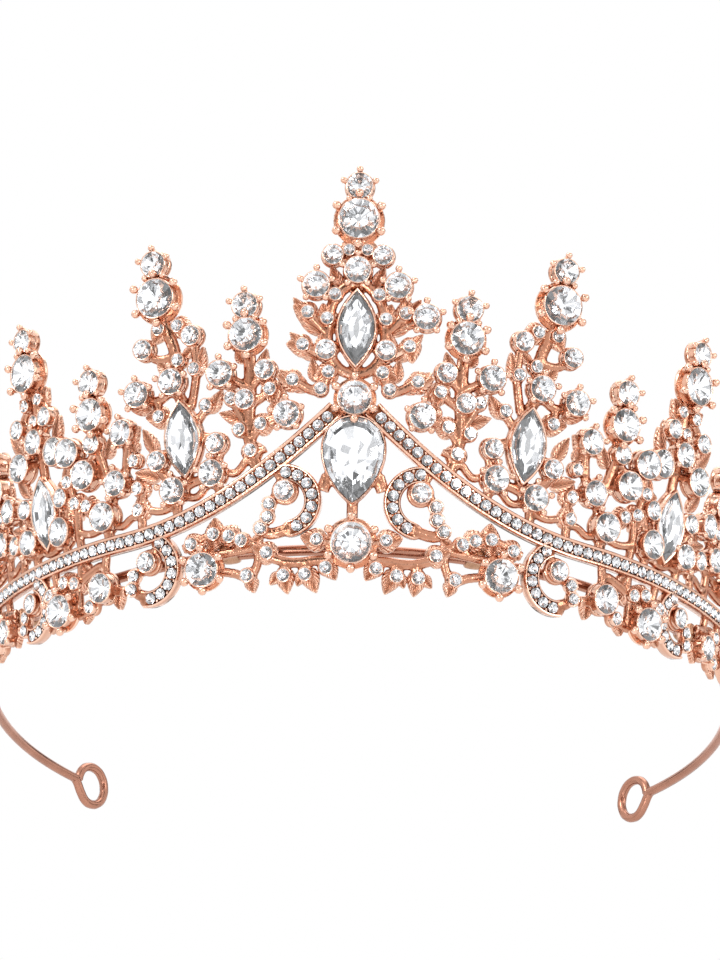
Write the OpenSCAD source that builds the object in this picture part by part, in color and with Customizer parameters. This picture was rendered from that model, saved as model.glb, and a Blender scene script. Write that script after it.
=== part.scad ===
// Bridal tiara: openwork castings set with stones on a bent wire headband.
// Frame: origin on the table under the middle of the head ring, +X to the
// wearer's left as seen from the front, -Y to the front, +Z up. Millimetres.

/* [Headband] */
// Radius of the jewelled face at the band line
band_r = 73; // [70:0.5:80]
// Height of the band line above the table
band_z = 6.7; // [6.7:0.1:9]
// Outward lean of the crest at the front, in degrees
flare = 20; // [10:1:28]
// Radius of the headband wire's own section
wire_r = 1; // [0.8:0.05:1.2]
// Radius of the ring that the wire is bent to
ring_r = 69.5; // [67:0.5:70]
// Angle from the front to the middle of each end loop
loop_angle = 126; // [118:1:134]
// Radius of an end loop at the middle of its wire
loop_r = 3.9; // [3.4:0.1:4.5]
// Radius of the hole that the loop is pressed to
eye_r = 3.1; // [2.7:0.1:3.6]

/* [Castings] */
// Thickness of a casting's openwork
plate_t = 1.6; // [1.2:0.1:2]
// Wall round each seated stone
wall_t = 0.45; // [0.35:0.05:0.6]
// Width of the channel rails
rail_w = 3.1; // [2.8:0.1:3.6]
// Distance from stone to stone in a row
pitch = 1.95; // [1.9:0.05:2.2]
// Size of the stones in the rows
row_stone = 1.8; // [1.6:0.05:1.8]

/* [Feature stones] */
// Width of the pear stone
pear_w = 10; // [9:0.5:11]
// Length of the pear stone
pear_l = 14; // [12:0.5:15]
// Width of the marquise stones
marquise_w = 6; // [5:0.5:6.5]
// Length of the marquise stones
marquise_l = 12.4; // [11:0.2:13]

/* [Hidden] */
$fn = 32;
wire_drop = 1.71; // tilt of the ring that brings the end loops down to the table
wire_front_z = band_z + 1.5;
rail_start = 2.6;
rail_end = 86;
rail_low = 4.8; // height of the rail once it runs level
rail_rise = 18; // how far the rail climbs to the apex
rail_run = 37.5; // distance over which it climbs
rail_back = -1.4;
rail_floor = -0.5;
rail_front = 0.35;
play = 0.03; // room between a stone and its seat
saddle_places = [0, -21, 21, -47, 47, -70, 70];
pear_y = 14.5;

// Stone sizes of the round seats
XL = 6.5;
L = 5.4;
M = 4.8;
S = 4.2;
XS = 3.2;
DOT = 2;

rose_gold = "#E3A58C";
wire_gold = "#C98468";
crystal = "#E9F0F5";

// ---------------------------------------------------------------- places on the face

function angle_at(s) = s / band_r * 180 / PI;
function lean_at(s) = flare * cos(angle_at(s));

// A point on the face: s along the band line, h up the lean, out towards the viewer
function face_point(s, h, out) =
    let(a = angle_at(s), f = lean_at(s), r = band_r + h * sin(f) + out * cos(f))
    [r * sin(a), -r * cos(a), band_z + h * cos(f) - out * sin(f)];

// Draws its children on the face, with X along the band, Y up and Z out
module on_face(s, h = 0, out = 0, turn = 0)
    rotate([0, 0, angle_at(s)])
        translate([0, -band_r, band_z])
            rotate([lean_at(s) + 90, 0, 0])
                translate([0, h, out])
                    rotate(turn) children();

module left_hand() mirror([1, 0, 0]) children();

module both_hands() {
    children();
    left_hand() children();
}

// ---------------------------------------------------------------- castings' shapes

// Every casting of the right half: [name, place, seats, stems, leaves, marquise]
// seat [x, y, stone], stem [width, points], leaf [x, y, turn, length, width]

SPRAY = [7.5,
    [[-3.4, -3, DOT], [0, -4, DOT], [3.5, -4.1, DOT], [6.2, -0.4, DOT]],
    [[1.3, [[-4.6, -1.6], [-1.5, -1.8], [2.5, -2], [6.6, -0.8]]],
     [1.4, [[-3.9, -1.6], [-3.4, -3]]],
     [1.4, [[-0.2, -1.8], [0, -4]]],
     [1.4, [[3, -1.8], [3.5, -4.1]]]],
    [[-3.2, -2, -120, 3.4, 2.4], [0.2, -2.4, -113, 4.9, 2.8], [3.8, -2.2, -100, 4.9, 2.8],
     [0.4, -3.2, -70, 2.8, 1.8], [4, -3.4, -50, 2.8, 1.8]]];

HEM_INNER = [21,
    [[-3.2, 2, DOT], [-1.2, 2.9, DOT], [1.5, 3.5, DOT], [5.4, 2.2, DOT],
     [3.6, -2.2, L], [-3.8, -3.8, DOT]],
    [[1.3, [[-6.2, 0.6], [-3.2, 2], [1.6, 3.4], [5.4, 2.2], [7.2, 1.6]]],
     [1.1, [[-5.6, 0.4], [-5.4, -2], [-3.8, -3.9], [-1.4, -3.2], [1.2, -2.6]]],
     [1.1, [[-5.8, 0.6], [-2, 0.3], [1.8, 0]]],
     [1.2, [[-3.2, 2], [-2, 0.3]]],
     [1.2, [[3.8, 0.4], [5.4, 2.2]]]],
    [[-3.8, -3.8, -105, 2.9, 2.2], [2.4, 0.6, 100, 2.8, 2.2], [-4.6, 1.2, 150, 2.4, 1.8]]];

HEM_MIDDLE = [49,
    [[-4.8, -2, M], [-1.4, -4.4, DOT], [1.5, 0.4, DOT], [4, 1.1, DOT], [7.6, -0.3, DOT],
     [5.2, -3.6, L]],
    [[1.6, [[-9, -3.6], [-4.8, -2.6], [-1.4, -4.3], [2, -4.8], [5.2, -3.8], [9, -4.2]]],
     [1.3, [[-4.8, 0], [-4.8, 1.6], [-1.4, 1.4], [1.5, 0.4], [4.2, 0.9], [7.6, -0.3], [9.6, -1]]],
     [1.1, [[1.5, 0.4], [1.8, -4.8]]],
     [1.2, [[-5, 1.4], [-5.6, 3.5]]],
     [1.2, [[0.8, 0.8], [0.4, 3.5]]],
     [1.2, [[6.4, 0.2], [6.8, 3.5]]]],
    [[-7, -3, -100, 3.2, 2.4], [0.2, -4.6, -80, 2.2, 2], [7.8, -4, -65, 2.8, 2.2],
     [-1.4, 1.4, 60, 2.4, 2]]];

HEM_OUTER = [73.5,
    [[-2, -2.2, S], [1.6, -3.8, DOT], [1.2, 0.8, DOT], [4.4, -0.6, DOT]],
    [[1.5, [[-5.8, -3.2], [-2, -2.6], [1.6, -3.7], [5.4, -2.6]]],
     [1.3, [[-4.6, 0.4], [-2, 1], [1, 0.6], [4.4, -0.6], [5.4, -2.6]]],
     [1.1, [[1, 0.6], [1.6, -3.7]]],
     [1.2, [[-2, 0.4], [-1.6, 3.5]]],
     [1.2, [[3, 0], [3.2, 3.5]]]],
    [[-4, -2.8, -95, 2.9, 2.2], [2.8, -3.6, -75, 2.4, 2]]];

SMALL_SPIRE = [15.5,
    [[0, 40.5, S], [0, 35.6, L], [-2.8, 29.6, XS], [4.8, 29.6, S], [0.8, 25, XS],
     [-3.5, 26.4, DOT], [3.2, 25.4, DOT], [-6.2, 22, S], [-1.7, 20.8, DOT], [2, 20.2, DOT],
     [0.2, 16.6, DOT]],
    [[1.8, [[-0.6, 13.4], [0.2, 16.6], [0.6, 20], [0.2, 25], [0, 31], [0, 38]]],
     [1.2, [[0.4, 24], [-3.5, 26.2]]],
     [1.1, [[0, 27], [-2.8, 29.6]]],
     [1.2, [[0.2, 27], [4.8, 29.6]]],
     [1.2, [[0.6, 20], [3.2, 25.4]]],
     [1.3, [[0.4, 18.5], [-1.7, 20.8], [-6.2, 22]]]],
    [[-6, 24.8, 40, 6, 2.6], [2.6, 26.6, 60, 4.2, 2.4], [-1.4, 29, 112, 4.4, 2],
     [1, 21.6, 20, 4.6, 2.2], [-3.6, 21.4, 100, 3.4, 2.2], [1, 31, 70, 3, 2]]];

TALL_SPIRE = [26.5,
    [[2.7, 49.9, S], [2.6, 43.9, XL], [-0.6, 38.9, DOT], [2.9, 38.9, DOT], [-3, 36.8, XS],
     [5.9, 35.8, XS], [-0.2, 33.1, DOT], [1.2, 29.6, S], [7.6, 28.4, S], [-4.8, 13.4, S],
     [-5.9, 18.2, XS], [2.4, 11.5, S], [4.9, 16.8, XS], [-4.6, 24.8, DOT], [-3, 31.2, DOT],
     [4, 24.2, DOT]],
    [[1.8, [[0, 26], [1.2, 29.6], [0.6, 34], [2.2, 40], [2.7, 48]]],
     [1.2, [[-1.6, 25], [-3, 31.2], [-3, 36.8]]],
     [1.2, [[0.6, 34], [4, 34], [5.9, 35.8]]],
     [1.3, [[1.2, 29], [4.6, 27], [7.6, 28.4]]],
     [1.2, [[-2.6, 22.6], [-4.6, 24.8]]],
     [1.2, [[2, 24], [4, 24.2], [4.6, 27]]],
     [1.4, [[-2.8, 20], [-5.9, 18.2], [-4.8, 13.4], [-5.6, 10]]],
     [1.4, [[2.6, 18.4], [4.9, 16.8], [2.4, 11.5], [2.4, 7.4]]],
     [1.3, [[-4.8, 13.4], [-1.2, 12.6], [2.4, 11.5]]]],
    [[-2.8, 30, 112, 5, 2.4], [-4.4, 23.4, 130, 4.6, 2.2], [5.4, 25.6, 18, 5, 2.2],
     [2, 31, 60, 3.6, 2.2], [5, 14, 20, 4.6, 2.4], [-0.6, 33.6, 150, 3, 1.8],
     [5.3, 18, 66, 5, 2.2]],
    [0, 19.8]];

SECOND_SMALL_SPIRE = [42.5,
    [[-0.4, 33.1, S], [0, 27.6, L], [0.7, 22.7, XS], [6, 22.4, M], [-5.9, 23, S],
     [3, 17.8, M], [-3.6, 14.8, S], [-0.2, 9.8, M], [-7.6, 17.8, DOT], [7, 17.6, DOT],
     [5.8, 13.6, DOT], [3.4, 12.6, DOT], [-7.8, 13, DOT], [-7.4, 9.4, DOT]],
    [[1.8, [[-0.4, 31], [0, 27], [0.4, 22.6], [-0.6, 17], [-1.4, 12], [-0.2, 9.6], [0, 6]]],
     [1.3, [[0.4, 22.6], [3, 20.2], [6, 22.4]]],
     [1.3, [[-0.6, 17], [-3.6, 14.8], [-5.4, 18.6], [-5.9, 23]]],
     [1.3, [[3, 17.6], [-0.6, 17]]],
     [1.2, [[6, 22.4], [7, 17.6], [5.8, 13.6], [3.4, 12.6], [-0.2, 9.8]]],
     [1.2, [[-5, 17.6], [-7.6, 17.8]]],
     [1.3, [[-3.6, 14.8], [-7.8, 13], [-7.4, 9.4], [-7, 5.9]]],
     [1.2, [[5.8, 13.6], [6.4, 9.4], [6.2, 5.9]]]],
    [[-5.2, 20.4, 140, 4.8, 2.4], [4.8, 19.2, 40, 5, 2.2], [-6.6, 14.4, 160, 4, 2.2],
     [5.4, 10.6, 55, 4.4, 2.2], [-1, 19.6, 120, 4.2, 2.2], [-7.6, 19, 75, 3.6, 2]]];

SECOND_TALL_SPIRE = [56,
    [[0.4, 46, S], [0.4, 40, XL], [-1.5, 34.7, DOT], [2.2, 34.6, DOT], [-3, 31, XS],
     [4.7, 31, XS], [0.4, 27.4, S], [4.8, 24, M], [-4.7, 24, M], [-3.9, 9.8, M],
     [4.7, 10.4, S], [-4.8, 15.6, XS], [4.9, 16.4, XS], [0.3, 31.2, DOT]],
    [[1.8, [[0, 20.5], [0.4, 27], [0.4, 33], [0.4, 44]]],
     [1.2, [[0.4, 28], [-3, 31], [-1.5, 34.7]]],
     [1.2, [[0.4, 28], [4.7, 31], [2.2, 34.6]]],
     [1.4, [[0.2, 24], [-4.7, 24]]],
     [1.4, [[0.2, 24], [4.8, 24]]],
     [1.4, [[-2.6, 15], [-4.8, 15.6], [-3.9, 9.8], [-3.6, 5.9]]],
     [1.4, [[2.6, 16], [4.9, 16.4], [4.7, 10.4], [4.4, 5.9]]],
     [1.3, [[-3.9, 9.8], [0, 7.4], [4.7, 10.4]]]],
    [[-3.4, 26, 118, 5, 2.4], [5, 26, 60, 5.4, 2.4], [-4.8, 17.6, 115, 4.6, 2.2],
     [5, 18.6, 65, 4.6, 2.2], [5.6, 12.6, 20, 4.4, 2.2]],
    [0, 14.3]];

END_SPIRE = [70,
    [[0, 28.6, S], [0, 23.4, M], [-3.6, 18.4, S], [4.1, 17, XS], [0, 13.4, S],
     [-4.6, 11.6, XS], [4.8, 10, XS], [8.6, 9.2, XS], [11.8, 8.2, DOT], [0.2, 18.4, DOT]],
    [[1.7, [[0, 26], [0, 18], [0.2, 13.4], [0, 5.9]]],
     [1.2, [[0, 16], [-3.6, 18.4]]],
     [1.2, [[0, 15], [4.1, 17]]],
     [1.3, [[-4.8, 5.9], [-4.6, 11.6], [0.2, 11], [4.8, 10], [8.6, 9.2], [12, 8], [12.4, 5.9]]]],
    [[-4.8, 13.4, 120, 4.4, 2.2], [4.8, 12, 65, 4.6, 2.2], [8.8, 10.4, 55, 4.2, 2.2],
     [1.2, 19.4, 60, 4, 2.2], [-1, 20, 125, 4, 2.2]]];

CREST_HALF_SEATS = [[1.5, 49, row_stone], [4.1, 48.1, XS], [6.7, 43.1, S], [3.6, 41.6, DOT],
    [4.8, 37.6, DOT], [8, 38.6, DOT], [4.9, 32.4, XS], [8.7, 33.2, DOT], [4.4, 28.8, DOT],
    [5.6, 26, DOT], [10.2, 27.4, DOT]];
CREST_SEATS = [[0, 59.6, S], [0, 54, XL], [0, 45.6, S]];
CREST_EXTRA_SEATS = [[11.4, 38, S]]; // the right arm only
CREST_STEMS = [[1.5, [[0, 28.3], [2.8, 29.6], [4.5, 33], [4.6, 37], [3.6, 41], [0, 44.6]]],
    [1.2, [[3.6, 41], [6.7, 43.1]]],
    [1.2, [[0, 46.4], [4.1, 48.1]]],
    [1.2, [[4.6, 35], [8, 38.6]]],
    [1.3, [[4.4, 31], [8.7, 33.2]]],
    [1.3, [[2.8, 29.6], [4.4, 28.8], [5.6, 26], [10.2, 27.4]]]];
CREST_LEAVES = [[5.4, 34.6, 52, 8, 2.8], [6, 30.6, 44, 6.6, 2.6], [7.4, 25.6, 34, 6, 2.6],
    [2.6, 42.4, 66, 4.4, 2], [6, 31.6, 100, 4, 2], [6.4, 27, 80, 4, 2]];

PANEL_SEATS = [[0, 24.5, L], [0, 1, XL]];
PANEL_SIDE_SEATS = [[5.6, 1.5, DOT]];
PANEL_STEMS = [[1.3, [[2.8, 1], [5.6, 1.5]]], [1.8, [[4, 12], [4.9, 9.4]]]];

// Scrolls: [place, height, radius, first angle, stones, eye stone, eye x, eye y, tail stones]
SCROLLS = [
    [10.6, 8, 4.6, 94, 7, XS, 0, 1.6, [[2.6, -0.4], [2.9, -2.5], [4.1, -4.3]]],
    [35, -0.6, 4.9, 126, 7, XS, -0.2, 1.2, [[2.7, -0.6], [3.4, -2.7]]],
    [62.6, -0.9, 4.5, 122, 7, XS, -0.2, 1, [[2.5, -0.7], [3.1, -2.8]]],
    [83, 0.2, 3.7, 118, 6, DOT, 0.4, 0.6, [[2.4, -1.2]]]
];

RIGHT_UNITS = [SPRAY, HEM_INNER, HEM_MIDDLE, HEM_OUTER, SMALL_SPIRE, TALL_SPIRE,
    SECOND_SMALL_SPIRE, SECOND_TALL_SPIRE, END_SPIRE];

// ---------------------------------------------------------------- flat shapes

module bar(a, b, w) {
    n = [a.y - b.y, b.x - a.x] / norm(b - a) * w / 2;
    polygon([a + n, a - n, b - n, b + n]);
}

// A bent stem, with a boss a little wider than the bar at each of its points
module stem(w, points) {
    for (i = [1 : len(points) - 1]) bar(points[i - 1], points[i], w);
    for (p = points) translate(p) circle(r = w / 2 + 0.08, $fn = 20);
}

// A pointed leaf, widest near its base
module leaf(length, width) {
    steps = 5;
    half = [for (i = [1 : steps - 1]) let(u = i / steps)
        [length * u, width / 2 * sin(180 * pow(u, 0.75))]];
    polygon(concat([[0, 0]], half, [[length, 0]],
        [for (i = [len(half) - 1 : -1 : 0]) [half[i].x, -half[i].y]]));
}

function marquise_outline(l, w, steps = 8) = [for (i = [0 : 2 * steps - 1])
    let(u = i < steps ? 1 - 2 * i / steps : 2 * (i - steps) / steps - 1)
    [(i < steps ? 1 : -1) * w / 2 * (1 - u * u), u * l / 2]];

// Round at the top and pointed below
function pear_outline(l, w, steps = 32) = [for (i = [0 : steps - 1])
    let(a = 360 * i / steps)
    [w / 2 * sin(a) * pow(abs(cos(a / 2)), 0.6) * 1.19, l / 2 * cos(a)]];

// ---------------------------------------------------------------- seats and stones

function seat_top(d) = 0.1 + 0.22 * d;
function stone_floor(d) = seat_top(d) - 0.3 * d;

module at_seat(seat) translate([seat.x, seat.y, 0]) children();

module seat_wall(d) {
    foot = -0.5;
    translate([0, 0, foot]) cylinder(h = seat_top(d) - foot, r = d / 2 + wall_t);
    if (d >= L)
        for (i = [0 : 5]) rotate(60 * i + 30) translate([d / 2 + 0.55, 0, foot])
            cylinder(h = seat_top(d) - foot + 0.45, r = 0.5, $fn = 16);
    if (d == S)
        for (i = [0 : 3]) rotate(90 * i + 45) translate([d / 2 + 0.5, 0, foot])
            cylinder(h = seat_top(d) - foot + 0.35, r = 0.42, $fn = 16);
}

module seat_hollow(d) translate([0, 0, stone_floor(d)]) cylinder(h = 0.3 * d + 2, r = d / 2);

// A foil-backed round stone: straight girdle, sloping crown, flat table
module round_stone(d) {
    girdle = 0.3 * d;
    translate([0, 0, stone_floor(d)])
        rotate_extrude()
            polygon([[0, 0], [d / 2 - play, 0], [d / 2 - play, girdle],
                [0.58 * d / 2, girdle + 0.14 * d], [0, girdle + 0.14 * d]]);
}

module stepped_stone(height, table) {
    linear_extrude(height) children();
    linear_extrude(height + 0.7) scale(table) children();
}

module marquise_stone()
    stepped_stone(1.4, 0.66) polygon(marquise_outline(marquise_l, marquise_w));

module pear_cut_stone() stepped_stone(2, 0.7) polygon(pear_outline(pear_l, pear_w));

// ---------------------------------------------------------------- one casting

module openwork(seats, stems, leaves) {
    for (s = stems) stem(s[0], s[1]);
    for (f = leaves) translate([f[0], f[1]]) rotate(f[2]) leaf(f[3], f[4]);
    for (s = seats) translate([s.x, s.y]) circle(r = s[2] / 2 + wall_t + 0.05);
}

module marquise_collar(at) translate(at)
    difference() {
        polygon(marquise_outline(marquise_l + 3, marquise_w + 2));
        polygon(marquise_outline(marquise_l - 2.4, marquise_w - 1.6));
    }

module marquise_rim(at) translate(at)
    linear_extrude(1) difference() {
        polygon(marquise_outline(marquise_l + 2, marquise_w + 1.3));
        polygon(marquise_outline(marquise_l + 0.2, marquise_w + 0.1));
    }

module casting(seats, stems, leaves, marquise) {
    difference() {
        union() {
            translate([0, 0, -plate_t]) linear_extrude(plate_t) {
                openwork(seats, stems, leaves);
                if (!is_undef(marquise)) marquise_collar(marquise);
            }
            for (s = seats) at_seat(s) seat_wall(s[2]);
        }
        for (s = seats) at_seat(s) seat_hollow(s[2]);
        if (!is_undef(marquise)) translate([0, 0, -0.7]) translate(marquise)
            linear_extrude(9) polygon(marquise_outline(marquise_l + 0.1, marquise_w + 0.06));
    }
    if (!is_undef(marquise)) translate([0, 0, -0.1]) marquise_rim(marquise);
}

module unit(u) color(rose_gold) on_face(u[0]) casting(u[1], u[2], u[3], u[4]);

// ---------------------------------------------------------------- rails and scrolls

function rail_u(s) = min(1, (s - rail_start) / rail_run);
function rail_h(s) = rail_low + rail_rise * pow(1 - rail_u(s), 2.2);
function rail_slope(s) = -2.2 * rail_rise / rail_run * pow(1 - rail_u(s), 1.2);
function rail_places(step) =
    [for (s = rail_start; s < rail_end; s = s + step / norm([1, rail_slope(s)])) s];

// A row's channel is a little wider than the seats that are bored in its floor
function channel(half) = let(slot = row_stone / 2 + 2 * play)
    [[-half, rail_back], [half, rail_back], [half, rail_front], [slot, rail_front],
    [slot, rail_floor], [-slot, rail_floor], [-slot, rail_front], [-half, rail_front]];

// The rail's channel section, carried along its line on the face
module rail() {
    places = rail_places(pitch);
    section = channel(rail_w / 2);
    n = len(section);
    rings = [for (s = places) let(k = rail_slope(s), side = [-k, 1] / norm([1, k]))
        [for (p = section) face_point(s + side.x * p.x, rail_h(s) + side.y * p.x, p.y)]];
    last = len(places) - 1;
    skin = [for (i = [0 : last - 1], j = [0 : n - 1])
        [i * n + j, (i + 1) * n + j, (i + 1) * n + (j + 1) % n, i * n + (j + 1) % n]];
    ends = [[for (j = [0 : n - 1]) j], [for (j = [n - 1 : -1 : 0]) last * n + j]];
    color(rose_gold) polyhedron(points = [for (r = rings) each r], faces = concat(skin, ends));
}

module row_stone_shape()
    translate([0, 0, rail_floor])
        rotate_extrude()
            polygon([[0, 0], [row_stone / 2, 0], [row_stone / 2, 0.65], [0.5, 0.95], [0, 0.95]]);

module rail_stones() color(crystal)
    for (s = rail_places(pitch))
        if (s > rail_start + 0.8 && s < rail_end - pitch)
            on_face(s, rail_h(s)) row_stone_shape();

function scroll_step(c) = 2.02 / c[2] * 180 / PI;

module scroll(c) color(rose_gold) on_face(c[0], c[1]) {
    turn = scroll_step(c) * c[4];
    end = c[3] + turn - 8;
    tail = c[8];
    difference() {
        union() {
            rotate(c[3] - 12) rotate_extrude(angle = turn + 4, $fn = 64)
                translate([c[2], 0]) polygon(channel(1.4));
            translate([0, 0, -plate_t + 0.15]) linear_extrude(plate_t - 0.35) {
                translate([c[6], c[7]]) circle(r = c[5] / 2 + 0.8);
                stem(2.3, concat([[c[6] + 0.8, c[7] - 0.4]], tail,
                    [c[2] * [cos(end), sin(end)] + [0.4, 0]]));
                translate(c[2] * [cos(c[3] - 10), sin(c[3] - 10)]) circle(r = 1.5);
                translate([c[6], c[7]]) rotate(118) square([c[2] - c[7], 1.6]);
            }
            translate([c[6], c[7], 0]) seat_wall(c[5]);
        }
        translate([c[6], c[7], 0]) seat_hollow(c[5]);
        for (p = tail) translate([p.x, p.y, rail_floor])
            cylinder(h = 5, r = row_stone / 2 + play);
        for (i = [0 : c[4] - 1]) rotate(c[3] + i * scroll_step(c))
            translate([c[2], 0, rail_floor]) cylinder(h = 5, r = row_stone / 2 + play);
    }
}

module scroll_stones() color(crystal)
    for (c = SCROLLS) on_face(c[0], c[1]) {
        for (i = [0 : c[4] - 1]) rotate(c[3] + i * scroll_step(c))
            translate([c[2], 0, 0]) row_stone_shape();
        for (p = c[8]) translate([p.x, p.y, 0]) row_stone_shape();
    }

// ---------------------------------------------------------------- centre castings

function mirrored(list) = [for (p = list) [-p[0], p[1], p[2]]];

module center_panel() color(rose_gold) on_face(0)
    difference() {
        union() {
            translate([0, 0, -plate_t]) linear_extrude(plate_t) {
                difference() {
                    union() {
                        openwork(PANEL_SEATS, [[1.5, [[0, 8], [0, 3]]]], []);
                        for (m = [0, 1]) mirror([m, 0])
                            openwork(PANEL_SIDE_SEATS, PANEL_STEMS, []);
                        translate([0, pear_y]) polygon(pear_outline(pear_l + 2.2, pear_w + 2));
                    }
                    translate([0, pear_y]) polygon(pear_outline(pear_l - 3, pear_w - 2.6));
                }
            }
            translate([0, pear_y, -0.2])
                linear_extrude(1) polygon(pear_outline(pear_l + 1.5, pear_w + 1.3));
            for (s = concat(PANEL_SEATS, PANEL_SIDE_SEATS, mirrored(PANEL_SIDE_SEATS)))
                at_seat(s) seat_wall(s[2]);
        }
        translate([0, pear_y, -0.8])
            linear_extrude(9) polygon(pear_outline(pear_l + 0.1, pear_w + 0.06));
        for (s = concat(PANEL_SEATS, PANEL_SIDE_SEATS, mirrored(PANEL_SIDE_SEATS)))
            at_seat(s) seat_hollow(s[2]);
    }

function crest_seats() = concat(CREST_SEATS, CREST_HALF_SEATS, mirrored(CREST_HALF_SEATS),
    CREST_EXTRA_SEATS);

module center_crest() color(rose_gold) on_face(0)
    casting(crest_seats(),
        concat([[2.6, [[0, 43.4], [0, 58]]], [1.2, [[8, 36.6], [11.4, 38]]]], CREST_STEMS,
            [for (s = CREST_STEMS) [s[0], [for (p = s[1]) [-p.x, p.y]]]]),
        concat(CREST_LEAVES,
            [for (f = CREST_LEAVES) [-f[0], f[1], 180 - f[2], f[3], f[4]]]),
        [0, 36]);

// ---------------------------------------------------------------- wire

module in_ring() translate([0, -ring_r, wire_front_z]) rotate([-wire_drop, 0, 0])
    translate([0, ring_r, 0]) children();

module headband_wire() color(wire_gold) in_ring() {
    half_turn = loop_angle - (loop_r + wire_r - 0.1) / ring_r * 180 / PI;
    rotate(-90 - half_turn) rotate_extrude(angle = 2 * half_turn, $fn = 128)
        translate([ring_r, 0]) circle(r = wire_r, $fn = 24);
}

module end_loop() color(wire_gold) in_ring() rotate(loop_angle - 90) translate([ring_r, 0, 0])
    rotate([0, 90, 0]) difference() {
        rotate_extrude($fn = 64) translate([loop_r, 0]) circle(r = wire_r, $fn = 24);
        translate([0, 0, -3]) cylinder(h = 6, r = eye_r, $fn = 64);
    }

module wire_saddles() color(rose_gold)
    for (s = saddle_places) in_ring() rotate(angle_at(s)) translate([0, -ring_r, 0])
        difference() {
            union() {
                rotate([0, 90, 0]) cylinder(h = 3, r = wire_r + 0.5, center = true);
                translate([-1.5, -2.6, -1.2]) cube([3, 1.8, 2.4]);
            }
            rotate([0, 90, 0]) cylinder(h = 4, r = wire_r + play, center = true);
        }

// ---------------------------------------------------------------- stones by size

module stones_of(size) color(crystal) {
    both_hands()
        for (u = RIGHT_UNITS) on_face(u[0])
            for (s = u[1]) if (s[2] == size) at_seat(s) round_stone(size);
    both_hands()
        for (c = SCROLLS) if (c[5] == size) on_face(c[0], c[1])
            translate([c[6], c[7], 0]) round_stone(size);
    on_face(0)
        for (s = concat(crest_seats(), PANEL_SEATS, PANEL_SIDE_SEATS, mirrored(PANEL_SIDE_SEATS)))
            if (s[2] == size) at_seat(s) round_stone(size);
}

module marquise_stones() color(crystal) {
    on_face(0, 36, -0.7) marquise_stone();
    both_hands() for (u = RIGHT_UNITS) if (!is_undef(u[4]))
        on_face(u[0], 0, -0.7) translate(u[4]) marquise_stone();
}

module pear_stone() color(crystal) on_face(0, pear_y, -0.8) pear_cut_stone();

headband_wire();
left_hand() end_loop();  // end_loop_left
end_loop();  // end_loop_right
wire_saddles();
center_panel();
center_crest();
left_hand() rail();  // rail_left
rail();  // rail_right
left_hand() scroll(SCROLLS[0]);  // inner_scroll_left
scroll(SCROLLS[0]);  // inner_scroll_right
left_hand() scroll(SCROLLS[1]);  // middle_scroll_left
scroll(SCROLLS[1]);  // middle_scroll_right
left_hand() scroll(SCROLLS[2]);  // outer_scroll_left
scroll(SCROLLS[2]);  // outer_scroll_right
left_hand() scroll(SCROLLS[3]);  // end_scroll_left
scroll(SCROLLS[3]);  // end_scroll_right
left_hand() unit(SPRAY);  // leaf_spray_left
unit(SPRAY);  // leaf_spray_right
left_hand() unit(HEM_INNER);  // hem_inner_left
unit(HEM_INNER);  // hem_inner_right
left_hand() unit(HEM_MIDDLE);  // hem_middle_left
unit(HEM_MIDDLE);  // hem_middle_right
left_hand() unit(HEM_OUTER);  // hem_outer_left
unit(HEM_OUTER);  // hem_outer_right
left_hand() unit(SMALL_SPIRE);  // small_spire_left
unit(SMALL_SPIRE);  // small_spire_right
left_hand() unit(TALL_SPIRE);  // tall_spire_left
unit(TALL_SPIRE);  // tall_spire_right
left_hand() unit(SECOND_SMALL_SPIRE);  // second_small_spire_left
unit(SECOND_SMALL_SPIRE);  // second_small_spire_right
left_hand() unit(SECOND_TALL_SPIRE);  // second_tall_spire_left
unit(SECOND_TALL_SPIRE);  // second_tall_spire_right
left_hand() unit(END_SPIRE);  // end_spire_left
unit(END_SPIRE);  // end_spire_right
pear_stone();
marquise_stones();
stones_of(XL);  // round_stones_6_5mm
stones_of(L);  // round_stones_5_4mm
stones_of(M);  // round_stones_4_8mm
stones_of(S);  // round_stones_4_2mm
stones_of(XS);  // round_stones_3_2mm
stones_of(DOT);  // accent_stones_2mm
left_hand() rail_stones();  // rail_stones_left
rail_stones();  // rail_stones_right
left_hand() scroll_stones();  // scroll_stones_left
scroll_stones();  // scroll_stones_right
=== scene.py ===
"""Bridal tiara: cast openwork, cut stones and a bent wire headband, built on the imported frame."""

import math

import bmesh
import bpy
from bpy.props import FloatProperty, FloatVectorProperty, IntProperty, PointerProperty
from mathutils import Matrix, Vector


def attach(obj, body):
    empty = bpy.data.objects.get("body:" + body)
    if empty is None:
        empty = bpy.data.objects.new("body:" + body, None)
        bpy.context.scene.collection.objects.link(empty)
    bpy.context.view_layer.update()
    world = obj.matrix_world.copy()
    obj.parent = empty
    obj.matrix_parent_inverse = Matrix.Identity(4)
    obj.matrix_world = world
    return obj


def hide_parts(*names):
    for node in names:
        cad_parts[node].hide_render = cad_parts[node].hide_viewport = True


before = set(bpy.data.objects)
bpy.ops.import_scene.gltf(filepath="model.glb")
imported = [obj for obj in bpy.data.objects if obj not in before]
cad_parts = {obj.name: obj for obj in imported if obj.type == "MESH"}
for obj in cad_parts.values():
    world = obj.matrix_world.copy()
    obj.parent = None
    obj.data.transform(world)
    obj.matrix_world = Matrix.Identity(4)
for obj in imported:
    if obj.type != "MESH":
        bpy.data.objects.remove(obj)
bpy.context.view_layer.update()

bl_info = {
    "name": "Bridal Tiara",
    "version": (1, 0, 0),
    "blender": (4, 5, 0),
    "location": "View3D > Sidebar > Tiara",
    "description": "Castings, cut stones and headband of a bridal tiara",
    "category": "Object",
}

MM = 0.001

# Lengths are in millimetres and angles in degrees, unless a comment says otherwise.

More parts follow.
